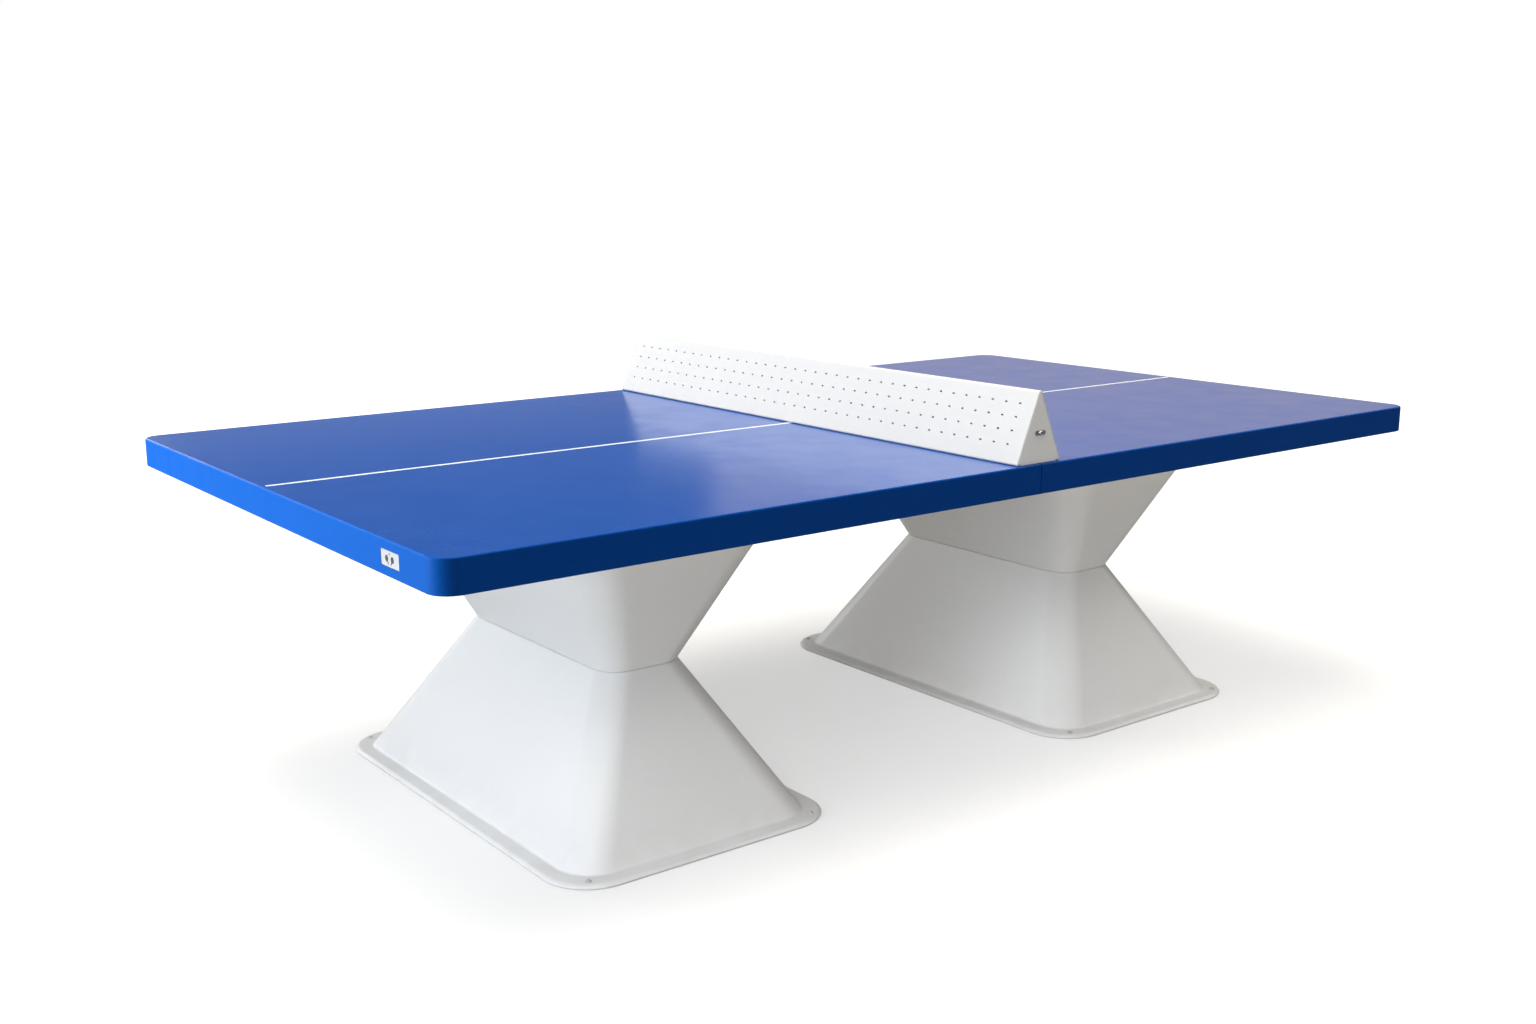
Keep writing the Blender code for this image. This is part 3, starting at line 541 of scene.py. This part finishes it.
def build_half_top(label, side, material):
    node = "deck_shell_" + label
    low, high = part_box(node)
    seam_x = min(abs(low.x), abs(high.x))
    end_x = max(abs(low.x), abs(high.x))

    def outline(outer_inset, seam_inset):
        return half_top_outline(side, outer_inset, seam_inset, seam_x, end_x, high.y)

    rings = [at_height(outline(DECK_WALL, DECK_WALL), high.z - DECK_SKIN),
             at_height(outline(DECK_WALL, DECK_WALL), low.z)]
    for roll, rise in reversed(quarter_round()):
        edge = outline(BOTTOM_ARRIS * roll, SEAM_ARRIS * roll)
        rings.append(at_height(edge, low.z + BOTTOM_ARRIS * (1 - rise)))
    for roll, rise in quarter_round():
        edge = outline(TOP_ARRIS * roll, SEAM_ARRIS * roll)
        rings.append(at_height(edge, high.z - TOP_ARRIS * (1 - rise)))
    name = "half_top_" + label
    return add_piece(name, mesh_from_rings(name, rings), material, "blue_gelcoat", node)


def give_satin_rim(top, satin, seam_coat_and_shade):
    """Only the flat playing surface is polished; the rim is satin and the seam's faces get the near-black
    sealing coat, which also paints the shade in the seam gap.
    """
    satin_index, seam_shade_index = 1, 2
    top.data.materials.append(satin)
    top.data.materials.append(seam_coat_and_shade)
    surface_z = max(corner[2] for corner in top.bound_box) - GAP / 2
    for polygon in top.data.polygons:
        # Faces of the seam: near-black sealing coat, which also paints the shade in the gap between the
        # halves.
        if abs(polygon.center.x) < SEAM_FACE_REACH and abs(polygon.normal.x) > SEAM_FACE_TURN:
            polygon.material_index = seam_shade_index
        elif polygon.center.z < surface_z:
            polygon.material_index = satin_index


def rectangle(low, high, inset):
    return [(low.x + inset, low.y + inset), (high.x - inset, low.y + inset),
            (high.x - inset, high.y - inset), (low.x + inset, high.y - inset)]


def build_line(label, top, material):
    """The centre line's inlay and the groove that it lies in."""
    node = "centre_line_" + label
    low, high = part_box(node)
    rings = [at_height(rectangle(low, high, 0.0), low.z),
             at_height(rectangle(low, high, 0.0), high.z - LINE_ARRIS),
             at_height(rectangle(low, high, LINE_ARRIS), high.z)]
    name = "line_" + label
    add_piece(name, mesh_from_rings(name, rings), material, "white_line", node)
    groove = [at_height(rectangle(low, high, -GAP), low.z - GAP),
              at_height(rectangle(low, high, -GAP), high.z + DECK_SKIN)]
    carve(top, mesh_from_rings("groove", groove))


# ---------------------------------------------------------------- plate on the end face

def plate_outline(node, inset):
    low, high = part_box(node)
    centre = (low + high) / 2
    half_y = (high.y - low.y) / 2 - inset
    half_z = (high.z - low.z) / 2 - inset
    points = rounded_rectangle(half_y, half_z, PLATE_CORNER - inset)
    return [(centre.y + u, centre.z + v) for u, v in points]


def facing_end(outline, x):
    """Stand a (y, z) outline at a distance x along the table."""
    return [(x, y, z) for y, z in outline]


def build_plate(top, metal, ink):
    node = "maker_plate"
    low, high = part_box(node)
    face_x = low.x + PRINT_RELIEF
    rings = [facing_end(plate_outline(node, PLATE_ARRIS), face_x),
             facing_end(plate_outline(node, 0.0), face_x + PLATE_ARRIS),
             facing_end(plate_outline(node, 0.0), high.x)]
    add_piece("end_plate", mesh_from_rings("end_plate", rings), metal, "plate_aluminium", node)
    seat = [facing_end(plate_outline(node, -GAP), low.x - DECK_WALL),
            facing_end(plate_outline(node, -GAP), high.x + GAP)]
    carve(top, mesh_from_rings("seat", seat))
    centre = box_centre(node)
    for name, (aside, turn) in PLATE_BATS.items():
        build_bat(name, centre.y + aside, centre.z, turn, low.x, face_x, ink)
    ball_centre = (centre.y + BALL_PLACE[0], centre.z + BALL_PLACE[1])
    ball = arc(ball_centre, BALL_RADIUS, 0.0, 2 * math.pi, CORNER_SEGMENTS)[:-1]
    back_x = face_x - PRINT_RELIEF / 3
    mesh = mesh_from_rings("plate_ball", [facing_end(ball, low.x), facing_end(ball, back_x)])
    add_piece("plate_ball", mesh, ink, "plate_aluminium")


def build_bat(name, centre_y, centre_z, turn, front_x, back_x, ink):
    """A plain bat shape: a round blade that runs into a short handle."""
    neck = math.asin(BAT_HANDLE_HALF * BAT_NECK_SPREAD / BAT_BLADE)
    shoulder = -BAT_BLADE * BAT_SHOULDER
    outline = arc((0, 0), BAT_BLADE, -math.pi / 2 + neck, 2 * math.pi - 2 * neck, 2 * CORNER_SEGMENTS)
    outline += [(-BAT_HANDLE_HALF, shoulder), (-BAT_HANDLE_HALF, -BAT_HANDLE_END),
                (BAT_HANDLE_HALF, -BAT_HANDLE_END), (BAT_HANDLE_HALF, shoulder)]
    cosine, sine = math.cos(turn - math.pi / 2), math.sin(turn - math.pi / 2)
    turned = [(centre_y + u * cosine - v * sine, centre_z + u * sine + v * cosine) for u, v in outline]
    inner_x = back_x - (back_x - front_x) / 3
    add_piece(name, mesh_from_rings(name, [facing_end(turned, front_x), facing_end(turned, inner_x)]),
              ink, "plate_aluminium")


# ---------------------------------------------------------------- feet

def foot_ring(centre_x, outset, height, radius):
    """Rounded rectangle round a foot's axis; outset is measured from the waist's outer face."""
    outline = rounded_rectangle(WAIST_HALF[0] + outset, WAIST_HALF[1] + outset, radius)
    return [(centre_x + x, y, height) for x, y in outline]


def build_foot_lower(label, material):
    node = "foot_lower_shell_" + label
    low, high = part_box(node)
    centre_x = (low.x + high.x) / 2
    waist = high.z
    brim = (high.x - low.x) / 2 - WAIST_HALF[0]
    flare = brim - BRIM_WIDTH

    def ring(outset, height, radius):
        return foot_ring(centre_x, outset, height, radius)

    def wall(height):
        share = (height - BRIM_THICKNESS) / (waist - BRIM_THICKNESS)
        return flare * (1 - share), BASE_CORNER + (WAIST_CORNER - BASE_CORNER) * share

    rings = []
    for roll, rise in reversed(quarter_round()):
        inset = BRIM_UNDER_ARRIS * roll
        rings.append(ring(brim - inset, BRIM_UNDER_ARRIS * (1 - rise), BRIM_CORNER - inset))
    for step, (roll, rise) in enumerate(quarter_round()):
        share = step / ARC_SEGMENTS
        inset = BRIM_LIP_WIDTH * (roll + (share - roll) * BRIM_LIP_FLATNESS)
        fall = BRIM_LIP_HEIGHT * (1 - rise - (share - rise) * BRIM_LIP_FLATNESS)
        rings.append(ring(brim - inset, BRIM_THICKNESS - fall, BRIM_CORNER - inset))
    lean = math.atan2(waist - BRIM_THICKNESS, flare)
    start = BRIM_FILLET * math.tan(lean / 2)
    for step in range(ARC_SEGMENTS + 1):
        angle = -math.pi / 2 - lean * step / ARC_SEGMENTS
        outset = start + BRIM_FILLET * math.cos(angle)
        height = BRIM_THICKNESS + BRIM_FILLET * (1 + math.sin(angle))
        rings.append(ring(flare + outset, height, BASE_CORNER + outset))
    for roll, rise in quarter_round():
        height = waist - WAIST_ARRIS * (1 - rise)
        outset, radius = wall(height)
        inset = WAIST_ARRIS * roll
        rings.append(ring(outset - inset, height, radius - inset))
    rings.append(ring(-WAIST_OPENING_INSET, waist, OPENING_CORNER))
    rings.append(ring(-WAIST_OPENING_INSET, waist - FLANGE, OPENING_CORNER))
    outset, radius = wall(waist - FLANGE)
    rings.append(ring(outset - FOOT_WALL, waist - FLANGE, radius - FOOT_WALL))
    rings.append(ring(flare - FOOT_WALL, 0.0, BASE_CORNER - FOOT_WALL))
    name = "foot_base_" + label
    return add_piece(name, mesh_from_rings(name, rings, closed=True), material, "white_gelcoat", node)


def build_foot_upper(label, material):
    node = "foot_upper_shell_" + label
    low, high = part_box(node)
    centre_x = (low.x + high.x) / 2
    flare = (high.x - low.x) / 2 - WAIST_HALF[0]

    def ring(outset, height, radius):
        return foot_ring(centre_x, outset, height, radius)

    def wall(height):
        share = (height - low.z) / (high.z - low.z)
        return flare * share, WAIST_CORNER + (FOOT_TOP_CORNER - WAIST_CORNER) * share

    rings = []
    for roll, rise in reversed(quarter_round()):
        height = low.z + WAIST_ARRIS * (1 - rise)
        outset, radius = wall(height)
        inset = WAIST_ARRIS * roll
        rings.append(ring(outset - inset, height, radius - inset))
    rings.append(ring(flare, high.z, FOOT_TOP_CORNER))
    top_opening = flare - TOP_OPENING_INSET
    rings.append(ring(top_opening, high.z, OPENING_CORNER))
    rings.append(ring(top_opening, high.z - FLANGE, OPENING_CORNER))
    for height in (high.z - FLANGE, low.z + FLANGE):
        outset, radius = wall(height)
        rings.append(ring(outset - FOOT_WALL, height, radius - FOOT_WALL))
    rings.append(ring(-WAIST_OPENING_INSET, low.z + FLANGE, OPENING_CORNER))
    rings.append(ring(-WAIST_OPENING_INSET, low.z, OPENING_CORNER))
    name = "foot_column_" + label
    add_piece(name, mesh_from_rings(name, rings, closed=True), material, "white_gelcoat", node)


# ---------------------------------------------------------------- net

class NetSection:
    """The folded sheet's outer section in X and Z, from its left lip over the ridge to its right lip."""

    def __init__(self):
        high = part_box("net_sheet")[1]
        self.half_length = high.y
        self.base_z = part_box("deck_shell_left")[1].z + NET_SEAT
        self.corner = Vector((high.x, self.base_z))
        self.ridge = Vector((0.0, high.z - NET_RIDGE_RADIUS))
        reach = self.ridge - self.corner
        self.lean = math.atan2(reach.y, -reach.x) + math.asin(NET_RIDGE_RADIUS / reach.length)
        self.normal_angle = math.pi / 2 - self.lean
        self.normal = Vector((math.cos(self.normal_angle), math.sin(self.normal_angle)))
        self.along = Vector((-math.cos(self.lean), math.sin(self.lean)))
        bend_x = self.corner.x - NET_BEND_RADIUS * (1 + self.normal.y) / self.normal.x
        self.bend = Vector((bend_x, self.base_z + NET_BEND_RADIUS))

    def slope_point(self, distance):
        """Point on the right slope at a distance up from its sharp lower corner."""
        return self.corner + self.along * distance

    def right_half(self):
        """Stations (point, outward normal) from the right lip's end to the ridge, and the first slot line."""
        lip_end = Vector((self.corner.x - NET_LIP, self.base_z))
        down = Vector((0.0, -1.0))
        stations = [(lip_end, down)]
        sweep = self.normal_angle + math.pi / 2
        for step in range(ARC_SEGMENTS + 1):
            angle = -math.pi / 2 + sweep * step / ARC_SEGMENTS
            outward = Vector((math.cos(angle), math.sin(angle)))
            stations.append((self.bend + outward * NET_BEND_RADIUS, outward))
        first_slot_line = len(stations)
        quarter = ROW_PITCH / CELL_STEPS
        for step in range(SLOT_ROWS * CELL_STEPS + 1):
            distance = FIRST_ROW - ROW_PITCH / 2 + step * quarter
            stations.append((self.slope_point(distance), self.normal))
        for step in range(ARC_SEGMENTS + 1):
            angle = self.normal_angle + (math.pi / 2 - self.normal_angle) * step / ARC_SEGMENTS
            outward = Vector((math.cos(angle), math.sin(angle)))
            stations.append((self.ridge + outward * NET_RIDGE_RADIUS, outward))
        return stations, first_slot_line


def mirrored(vector):
    return Vector((-vector.x, vector.y))


def net_columns(half_length):
    """Places along Y as (y, depth that the outer face is let down by), and the first slot line."""
    near = [(-half_length + NET_END_ARRIS * roll, NET_END_ARRIS * (1 - rise))
            for roll, rise in quarter_round()]
    start = -SLOT_COLUMNS * COLUMN_PITCH / 2
    quarter = COLUMN_PITCH / CELL_STEPS
    middle = [(start + step * quarter, 0.0) for step in range(SLOT_COLUMNS * CELL_STEPS + 1)]
    far = [(-y, depth) for y, depth in reversed(near)]
    return near + middle + far, len(near)


def build_net_sheet(material):
    """One folded sheet with short slots through both slopes."""
    section = NetSection()
    right, first_slot_line = section.right_half()
    stations = [(mirrored(point), mirrored(normal)) for point, normal in right]
    ridge_index = len(stations) - 1
    stations += list(reversed(right[:-1]))
    columns, first_slot_column = net_columns(section.half_length)
    row_lines = SLOT_ROWS * CELL_STEPS
    left_start = first_slot_line
    right_start = 2 * ridge_index - first_slot_line - row_lines
    build = bmesh.new()
    grid = {}

    def vertex(line, column, inner):
        key = (line, column, inner)
        if key not in grid:
            point, normal = stations[line]
            y, let_down = columns[column]
            place = point - normal * (NET_SHEET if inner else let_down)
            grid[key] = build.verts.new((place.x, y, place.y))
        return grid[key]

    def in_slots(line, column):
        on_slope = any(start <= line < start + row_lines for start in (left_start, right_start))
        return on_slope and 0 <= column - first_slot_column < SLOT_COLUMNS * CELL_STEPS

    for line in range(len(stations) - 1):
        for column in range(len(columns) - 1):
            if in_slots(line, column):
                continue
            for inner in (False, True):
                corners = ((line, column), (line + 1, column), (line + 1, column + 1), (line, column + 1))
                build.faces.new([vertex(*corner, inner) for corner in corners])
    for start in (left_start, right_start):
        for row in range(SLOT_ROWS):
            for column in range(SLOT_COLUMNS):
                perforate(build, vertex, start + row * CELL_STEPS,
                          first_slot_column + column * CELL_STEPS, stations, columns)
    last_line, last_column = len(stations) - 1, len(columns) - 1
    for line in range(last_line):
        for column in (0, last_column):
            build.faces.new((vertex(line, column, False), vertex(line + 1, column, False),
                             vertex(line + 1, column, True), vertex(line, column, True)))
    for column in range(last_column):
        for line in (0, last_line):
            build.faces.new((vertex(line, column, False), vertex(line, column + 1, False),
                             vertex(line, column + 1, True), vertex(line, column, True)))
    bmesh.ops.recalc_face_normals(build, faces=build.faces)
    mesh = bpy.data.meshes.new("net_perforated")
    build.to_mesh(mesh)
    build.free()
    add_piece("net_perforated", mesh, material, "white_powder_coat", "net_sheet")


def cell_border(line, column):
    """Grid keys round one slot's cell, starting at its lower corner."""
    steps = CELL_STEPS
    border = [(line + step, column) for step in range(steps)]
    border += [(line + steps, column + step) for step in range(steps)]
    border += [(line + steps - step, column + steps) for step in range(steps)]
    border += [(line, column + steps - step) for step in range(steps)]
    return border


def perforate(build, vertex, line, column, stations, columns):
    """Fill one cell of both faces around a slot, and line the slot."""
    border = cell_border(line, column)
    low_point, normal = stations[line]
    high_point = stations[line + CELL_STEPS][0]
    centre = (low_point + high_point) / 2
    uphill = (high_point - low_point).normalized()
    centre_y = (columns[column][0] + columns[column + CELL_STEPS][0]) / 2
    rims = {}
    for inner in (False, True):
        rim = []
        for index in range(len(border)):
            angle = 2 * math.pi * (index + 0.5) / len(border) + CELL_CORNER_ANGLE
            across, up = SLOT_RADIUS * math.sin(angle), SLOT_RADIUS * math.cos(angle)
            across += math.copysign(SLOT_STRAIGHT / 2, across)
            place = centre + uphill * up - normal * (NET_SHEET if inner else 0.0)
            rim.append(build.verts.new((place.x, centre_y + across, place.y)))
        rims[inner] = rim
        for index in range(len(border)):
            following = (index + 1) % len(border)
            build.faces.new((vertex(*border[index], inner), vertex(*border[following], inner),
                             rim[following], rim[index]))
    for index in range(len(border)):
        following = (index + 1) % len(border)
        build.faces.new((rims[False][index], rims[False][following],
                         rims[True][following], rims[True][index]))


def net_end_outline(inset):
    """The net's inner section and the tongue between its lips, less an inset, as (x, z)."""
    section = NetSection()
    depth = NET_SHEET + GAP + inset
    ridge_radius = NET_RIDGE_RADIUS - depth
    base_z = section.base_z + depth
    foot = section.corner - section.normal * depth
    corner = foot + section.along * ((base_z - foot.y) / section.along.y)
    start, sweep = section.normal_angle, math.pi - 2 * section.normal_angle
    top = arc(section.ridge, ridge_radius, start, sweep, 2 * ARC_SEGMENTS)
    tongue_half = section.corner.x - NET_LIP - GAP - inset
    tongue_z = section.base_z + inset
    tongue = [(-tongue_half, base_z), (-tongue_half, tongue_z),
              (tongue_half, tongue_z), (tongue_half, base_z)]
    return [(corner.x, base_z)] + top + [(-corner.x, base_z)] + tongue


def net_end_points(inset):
    """The end plate's outline with its long straight sides broken into short steps."""
    outline = net_end_outline(inset)
    steps = [SLOPE_STEPS] + [1] * (2 * ARC_SEGMENTS)
    steps += [SLOPE_STEPS, LIP_STEPS, 1, SLOPE_STEPS, 1, LIP_STEPS]
    points = []
    for start, end, count in zip(outline, outline[1:] + outline[:1], steps):
        first, span = Vector(start), Vector(end) - Vector(start)
        points += [first + span * step / count for step in range(count)]
    return points


def build_net_end(label, side, material):
    node = "net_end_plate_" + label
    low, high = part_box(node)
    outer_y, inner_y = (high.y, low.y) if side > 0 else (low.y, high.y)
    bolt = box_centre("net_bolt_" + label)
    outline = net_end_points(0.0)
    arris = net_end_points(PLATE_EDGE_ARRIS)
    hole = []
    for point in outline:
        ray = (point - Vector((bolt.x, bolt.z))).normalized() * BOLT_HOLE_RADIUS
        hole.append((bolt.x + ray.x, bolt.z + ray.y))

    def stand(points, y):
        return [(x, y, z) for x, z in points]

    rings = [stand(arris, outer_y), stand(outline, outer_y - side * PLATE_EDGE_ARRIS),
             stand(outline, inner_y), stand(hole, inner_y), stand(hole, outer_y)]
    name = "net_end_" + label
    add_piece(name, mesh_from_rings(name, rings, closed=True), material, "white_powder_coat", node)


# ---------------------------------------------------------------- fasteners

def circle(radius, height):
    angles = [2 * math.pi * step / FASTENER_SIDES for step in range(FASTENER_SIDES)]
    return [(radius * math.cos(a), radius * math.sin(a), height) for a in angles]


def obround(radius, straight, height):
    """Circle drawn out along X by a straight run."""
    points = []
    for step in range(FASTENER_SIDES):
        angle = 2 * math.pi * (step + 0.5) / FASTENER_SIDES
        x = radius * math.cos(angle)
        points.append((x + math.copysign(straight / 2, x), radius * math.sin(angle), height))
    return points


def hexagon(flat_half, height):
    """A hexagon with as many points as the circles beside it."""
    points = []
    for step in range(FASTENER_SIDES):
        angle = 2 * math.pi * step / FASTENER_SIDES
        reach = flat_half / math.cos(angle % (math.pi / 3) - math.pi / 6)
        points.append((reach * math.cos(angle), reach * math.sin(angle), height))
    return points


def domed_fastener(name, length, washer, head_radius, head_height, socket):
    """Shank, washer and domed head, seated on z = 0; washer is its radius, straight run and height."""
    radius, straight, thickness = washer
    top = thickness + head_height
    rings = [circle(SHANK_RADIUS, -length), circle(SHANK_RADIUS, 0.0)]
    for inset, height in ((WASHER_ARRIS, 0.0), (0.0, WASHER_ARRIS),
                          (0.0, thickness - WASHER_ARRIS), (WASHER_ARRIS, thickness)):
        rings.append(obround(radius - inset, straight, height))
    rings.append(circle(head_radius, thickness))
    for step in range(1, 2 * ARC_SEGMENTS + 1):
        angle = DOME_SWEEP * step / (2 * ARC_SEGMENTS)
        rise = head_height * math.sin(angle) / math.sin(DOME_SWEEP)
        rings.append(circle(head_radius * math.cos(angle), thickness + rise))
    if socket:
        flat_half = head_radius * SOCKET_SHARE
        rings += [hexagon(flat_half, top), hexagon(flat_half, top - head_height * SOCKET_DEPTH_SHARE)]
    return mesh_from_rings(name, rings)


def build_net_bolt(label, side, material):
    """Bolt with a long washer along X."""
    node = "net_bolt_" + label
    low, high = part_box(node)
    centre = (low + high) / 2
    plate_low, plate_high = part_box("net_end_plate_" + label)
    seat = plate_high.y + GAP if side > 0 else plate_low.y - GAP
    reach = abs((high.y if side > 0 else low.y) - seat)
    radius = (high.z - low.z) / 2
    washer = (radius, high.x - low.x - 2 * radius, NET_WASHER_HEIGHT)
    name = "net_bolt_head_" + label
    head_height = reach - NET_WASHER_HEIGHT
    mesh = domed_fastener(name, high.y - low.y - reach, washer, NET_BOLT_HEAD, head_height, True)
    turn = Matrix.Rotation(-side * math.pi / 2, 4, "X")
    mesh.transform(Matrix.Translation((centre.x, seat, centre.z)) @ turn)
    add_piece(name, mesh, material, "stainless_steel", node)


def build_ground_anchor(label, number, material):
    """Low white cap over a fixing in the brim."""
    node = f"ground_anchor_{label}_{number}"
    low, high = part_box(node)
    seat = BRIM_THICKNESS + GAP
    name = f"anchor_head_{label}_{number}"
    washer = (ANCHOR_WASHER, 0.0, ANCHOR_WASHER_HEIGHT)
    head_height = high.z - seat - ANCHOR_WASHER_HEIGHT
    mesh = domed_fastener(name, seat - low.z, washer, ANCHOR_HEAD, head_height, False)
    mesh.transform(Matrix.Translation(((low.x + high.x) / 2, (low.y + high.y) / 2, seat)))
    add_piece(name, mesh, material, "white_powder_coat", node)


def drill_brim(foot, label):
    """Open the anchors' holes through a foot's brim."""
    for number in ANCHOR_NUMBERS:
        low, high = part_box(f"ground_anchor_{label}_{number}")
        centre = (low + high) / 2
        rings = [circle(SHANK_RADIUS + GAP, -BRIM_THICKNESS), circle(SHANK_RADIUS + GAP, 2 * BRIM_THICKNESS)]
        mesh = mesh_from_rings("anchor_hole", rings)
        mesh.transform(Matrix.Translation((centre.x, centre.y, 0.0)))
        carve(foot, mesh)


# ---------------------------------------------------------------- floor, light and camera

def build_floor(material):
    outline = arc((0, 0), FLOOR_RADIUS, 0.0, 2 * math.pi, 2 * FASTENER_SIDES)[:-1]
    build = bmesh.new()
    build.faces.new([build.verts.new((x, y, 0.0)) for x, y in outline])
    mesh = bpy.data.meshes.new("floor")
    build.to_mesh(mesh)
    build.free()
    mesh.materials.append(material)
    floor = bpy.data.objects.new("floor", mesh)
    bpy.context.scene.collection.objects.link(floor)


def light_groups():
    """Collections for the lights' reach: tops, all else, all else but the floor, right foot and net ends."""
    groups = {name: bpy.data.collections.new("lit_" + name) for name in ("tops", "rest", "stand", "right")}
    for piece in bpy.context.scene.objects:
        if piece.type != "MESH":
            continue
        if piece.name.startswith("half_top_"):
            groups["tops"].objects.link(piece)
            continue
        groups["rest"].objects.link(piece)
        if piece.name != "floor":
            groups["stand"].objects.link(piece)
        if piece.name.startswith(("foot_", "net_end")) and not piece.name.endswith("left"):
            groups["right"].objects.link(piece)
    return groups


def add_light(name, place, aim, size, power, colour, reach):
    light = bpy.data.lights.new(name, "AREA")
    light.shape = "RECTANGLE"
    light.size, light.size_y = size
    light.energy = power
    light.color = colour
    lamp = bpy.data.objects.new(name, light)
    lamp.location = place
    lamp.rotation_euler = (Vector(aim) - Vector(place)).to_track_quat("-Z", "Y").to_euler()
    lamp.visible_camera = False
    lamp.light_linking.receiver_collection = reach
    bpy.context.scene.collection.objects.link(lamp)


def light_scene():
    """Soft light from above, cool light along the left end and dim cards for the sheen of the top."""
    groups = light_groups()
    for name, (place, aim, size, power, colour, reach) in LIGHTS.items():
        add_light(name, place, aim, size, power, colour, groups[reach] if reach else None)
    world = bpy.data.worlds.new("studio")
    world.use_nodes = True
    tree = world.node_tree
    tree.nodes.clear()
    seen = add_node(tree, "ShaderNodeBackground", {"Color": (1.0, 1.0, 1.0, 1.0), "Strength": 1.0})
    lit = add_node(tree, "ShaderNodeBackground", {"Color": (1.0, 1.0, 1.0, 1.0), "Strength": ROOM_GLOW})
    path = add_node(tree, "ShaderNodeLightPath")
    mix = add_node(tree, "ShaderNodeMixShader", {0: path.outputs["Is Camera Ray"],
                                                 1: lit.outputs[0], 2: seen.outputs[0]})
    add_node(tree, "ShaderNodeOutputWorld", {"Surface": mix.outputs[0]})
    bpy.context.scene.world = world


def place_camera():
    forward = Vector((math.cos(CAMERA_HEADING) * math.cos(CAMERA_TILT),
                      math.sin(CAMERA_HEADING) * math.cos(CAMERA_TILT), -math.sin(CAMERA_TILT)))
    level = Vector((math.sin(CAMERA_HEADING), -math.cos(CAMERA_HEADING), 0.0))
    upright = level.cross(forward)
    right = level * math.cos(CAMERA_ROLL) + upright * math.sin(CAMERA_ROLL)
    up = upright * math.cos(CAMERA_ROLL) - level * math.sin(CAMERA_ROLL)
    data = bpy.data.cameras.new("camera")
    data.lens = CAMERA_LENS
    data.sensor_width = SENSOR_WIDTH
    camera = bpy.data.objects.new("camera", data)
    turn = Matrix((right, up, -forward)).transposed().to_4x4()
    camera.matrix_world = Matrix.Translation(CAMERA_PLACE) @ turn
    bpy.context.scene.collection.objects.link(camera)
    bpy.context.scene.camera = camera


# ---------------------------------------------------------------- the table

def finish_packed_nodes(materials):
    """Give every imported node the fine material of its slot."""
    for part in frame["record"]["subparts"]:
        node = frame["nodes"][part["node"]]
        for slot in node.material_slots:
            slot.material = materials[part["material_slot"]]


def main():
    materials = {
        "blue_gelcoat": make_blue_gelcoat("blue_gelcoat_fine", TOP_POLISH, TOP_ROUGHNESS),
        "core_foam": make_foam(),
        "grey_underside": make_underside(),
        "white_line": make_line_white(),
        "white_powder_coat": make_powder_coat(),
        "white_gelcoat": make_white_gelcoat(),
        "galvanised_steel": make_galvanised(),
        "stainless_steel": make_stainless(),
        "plate_aluminium": make_plate_metal(),
    }
    finish_packed_nodes(materials)
    tops = {}
    for label, side in (("left", -1), ("right", 1)):
        tops[label] = build_half_top(label, side, materials["blue_gelcoat"])
        build_line(label, tops[label], materials["white_line"])
        drill_brim(build_foot_lower(label, materials["white_gelcoat"]), label)
        build_foot_upper(label, materials["white_gelcoat"])
        for number in ANCHOR_NUMBERS:
            build_ground_anchor(label, number, materials["white_powder_coat"])
    build_plate(tops["left"], materials["plate_aluminium"], make_plate_ink())
    satin = make_blue_gelcoat("blue_gelcoat_satin", RIM_POLISH, RIM_ROUGHNESS)
    # Near-black seam coat: sealant colour that also paints the shade between the half tops.
    seam_coat_and_shade = make_seam_coat_and_shade()
    for top in tops.values():
        give_satin_rim(top, satin, seam_coat_and_shade)
    build_net_sheet(materials["white_powder_coat"])
    for label, side in (("near", -1), ("far", 1)):
        build_net_end(label, side, materials["white_powder_coat"])
        build_net_bolt(label, side, materials["stainless_steel"])
    build_floor(make_floor_material())
    light_scene()
    place_camera()
    bpy.context.scene.view_settings.view_transform = "Standard"


main()
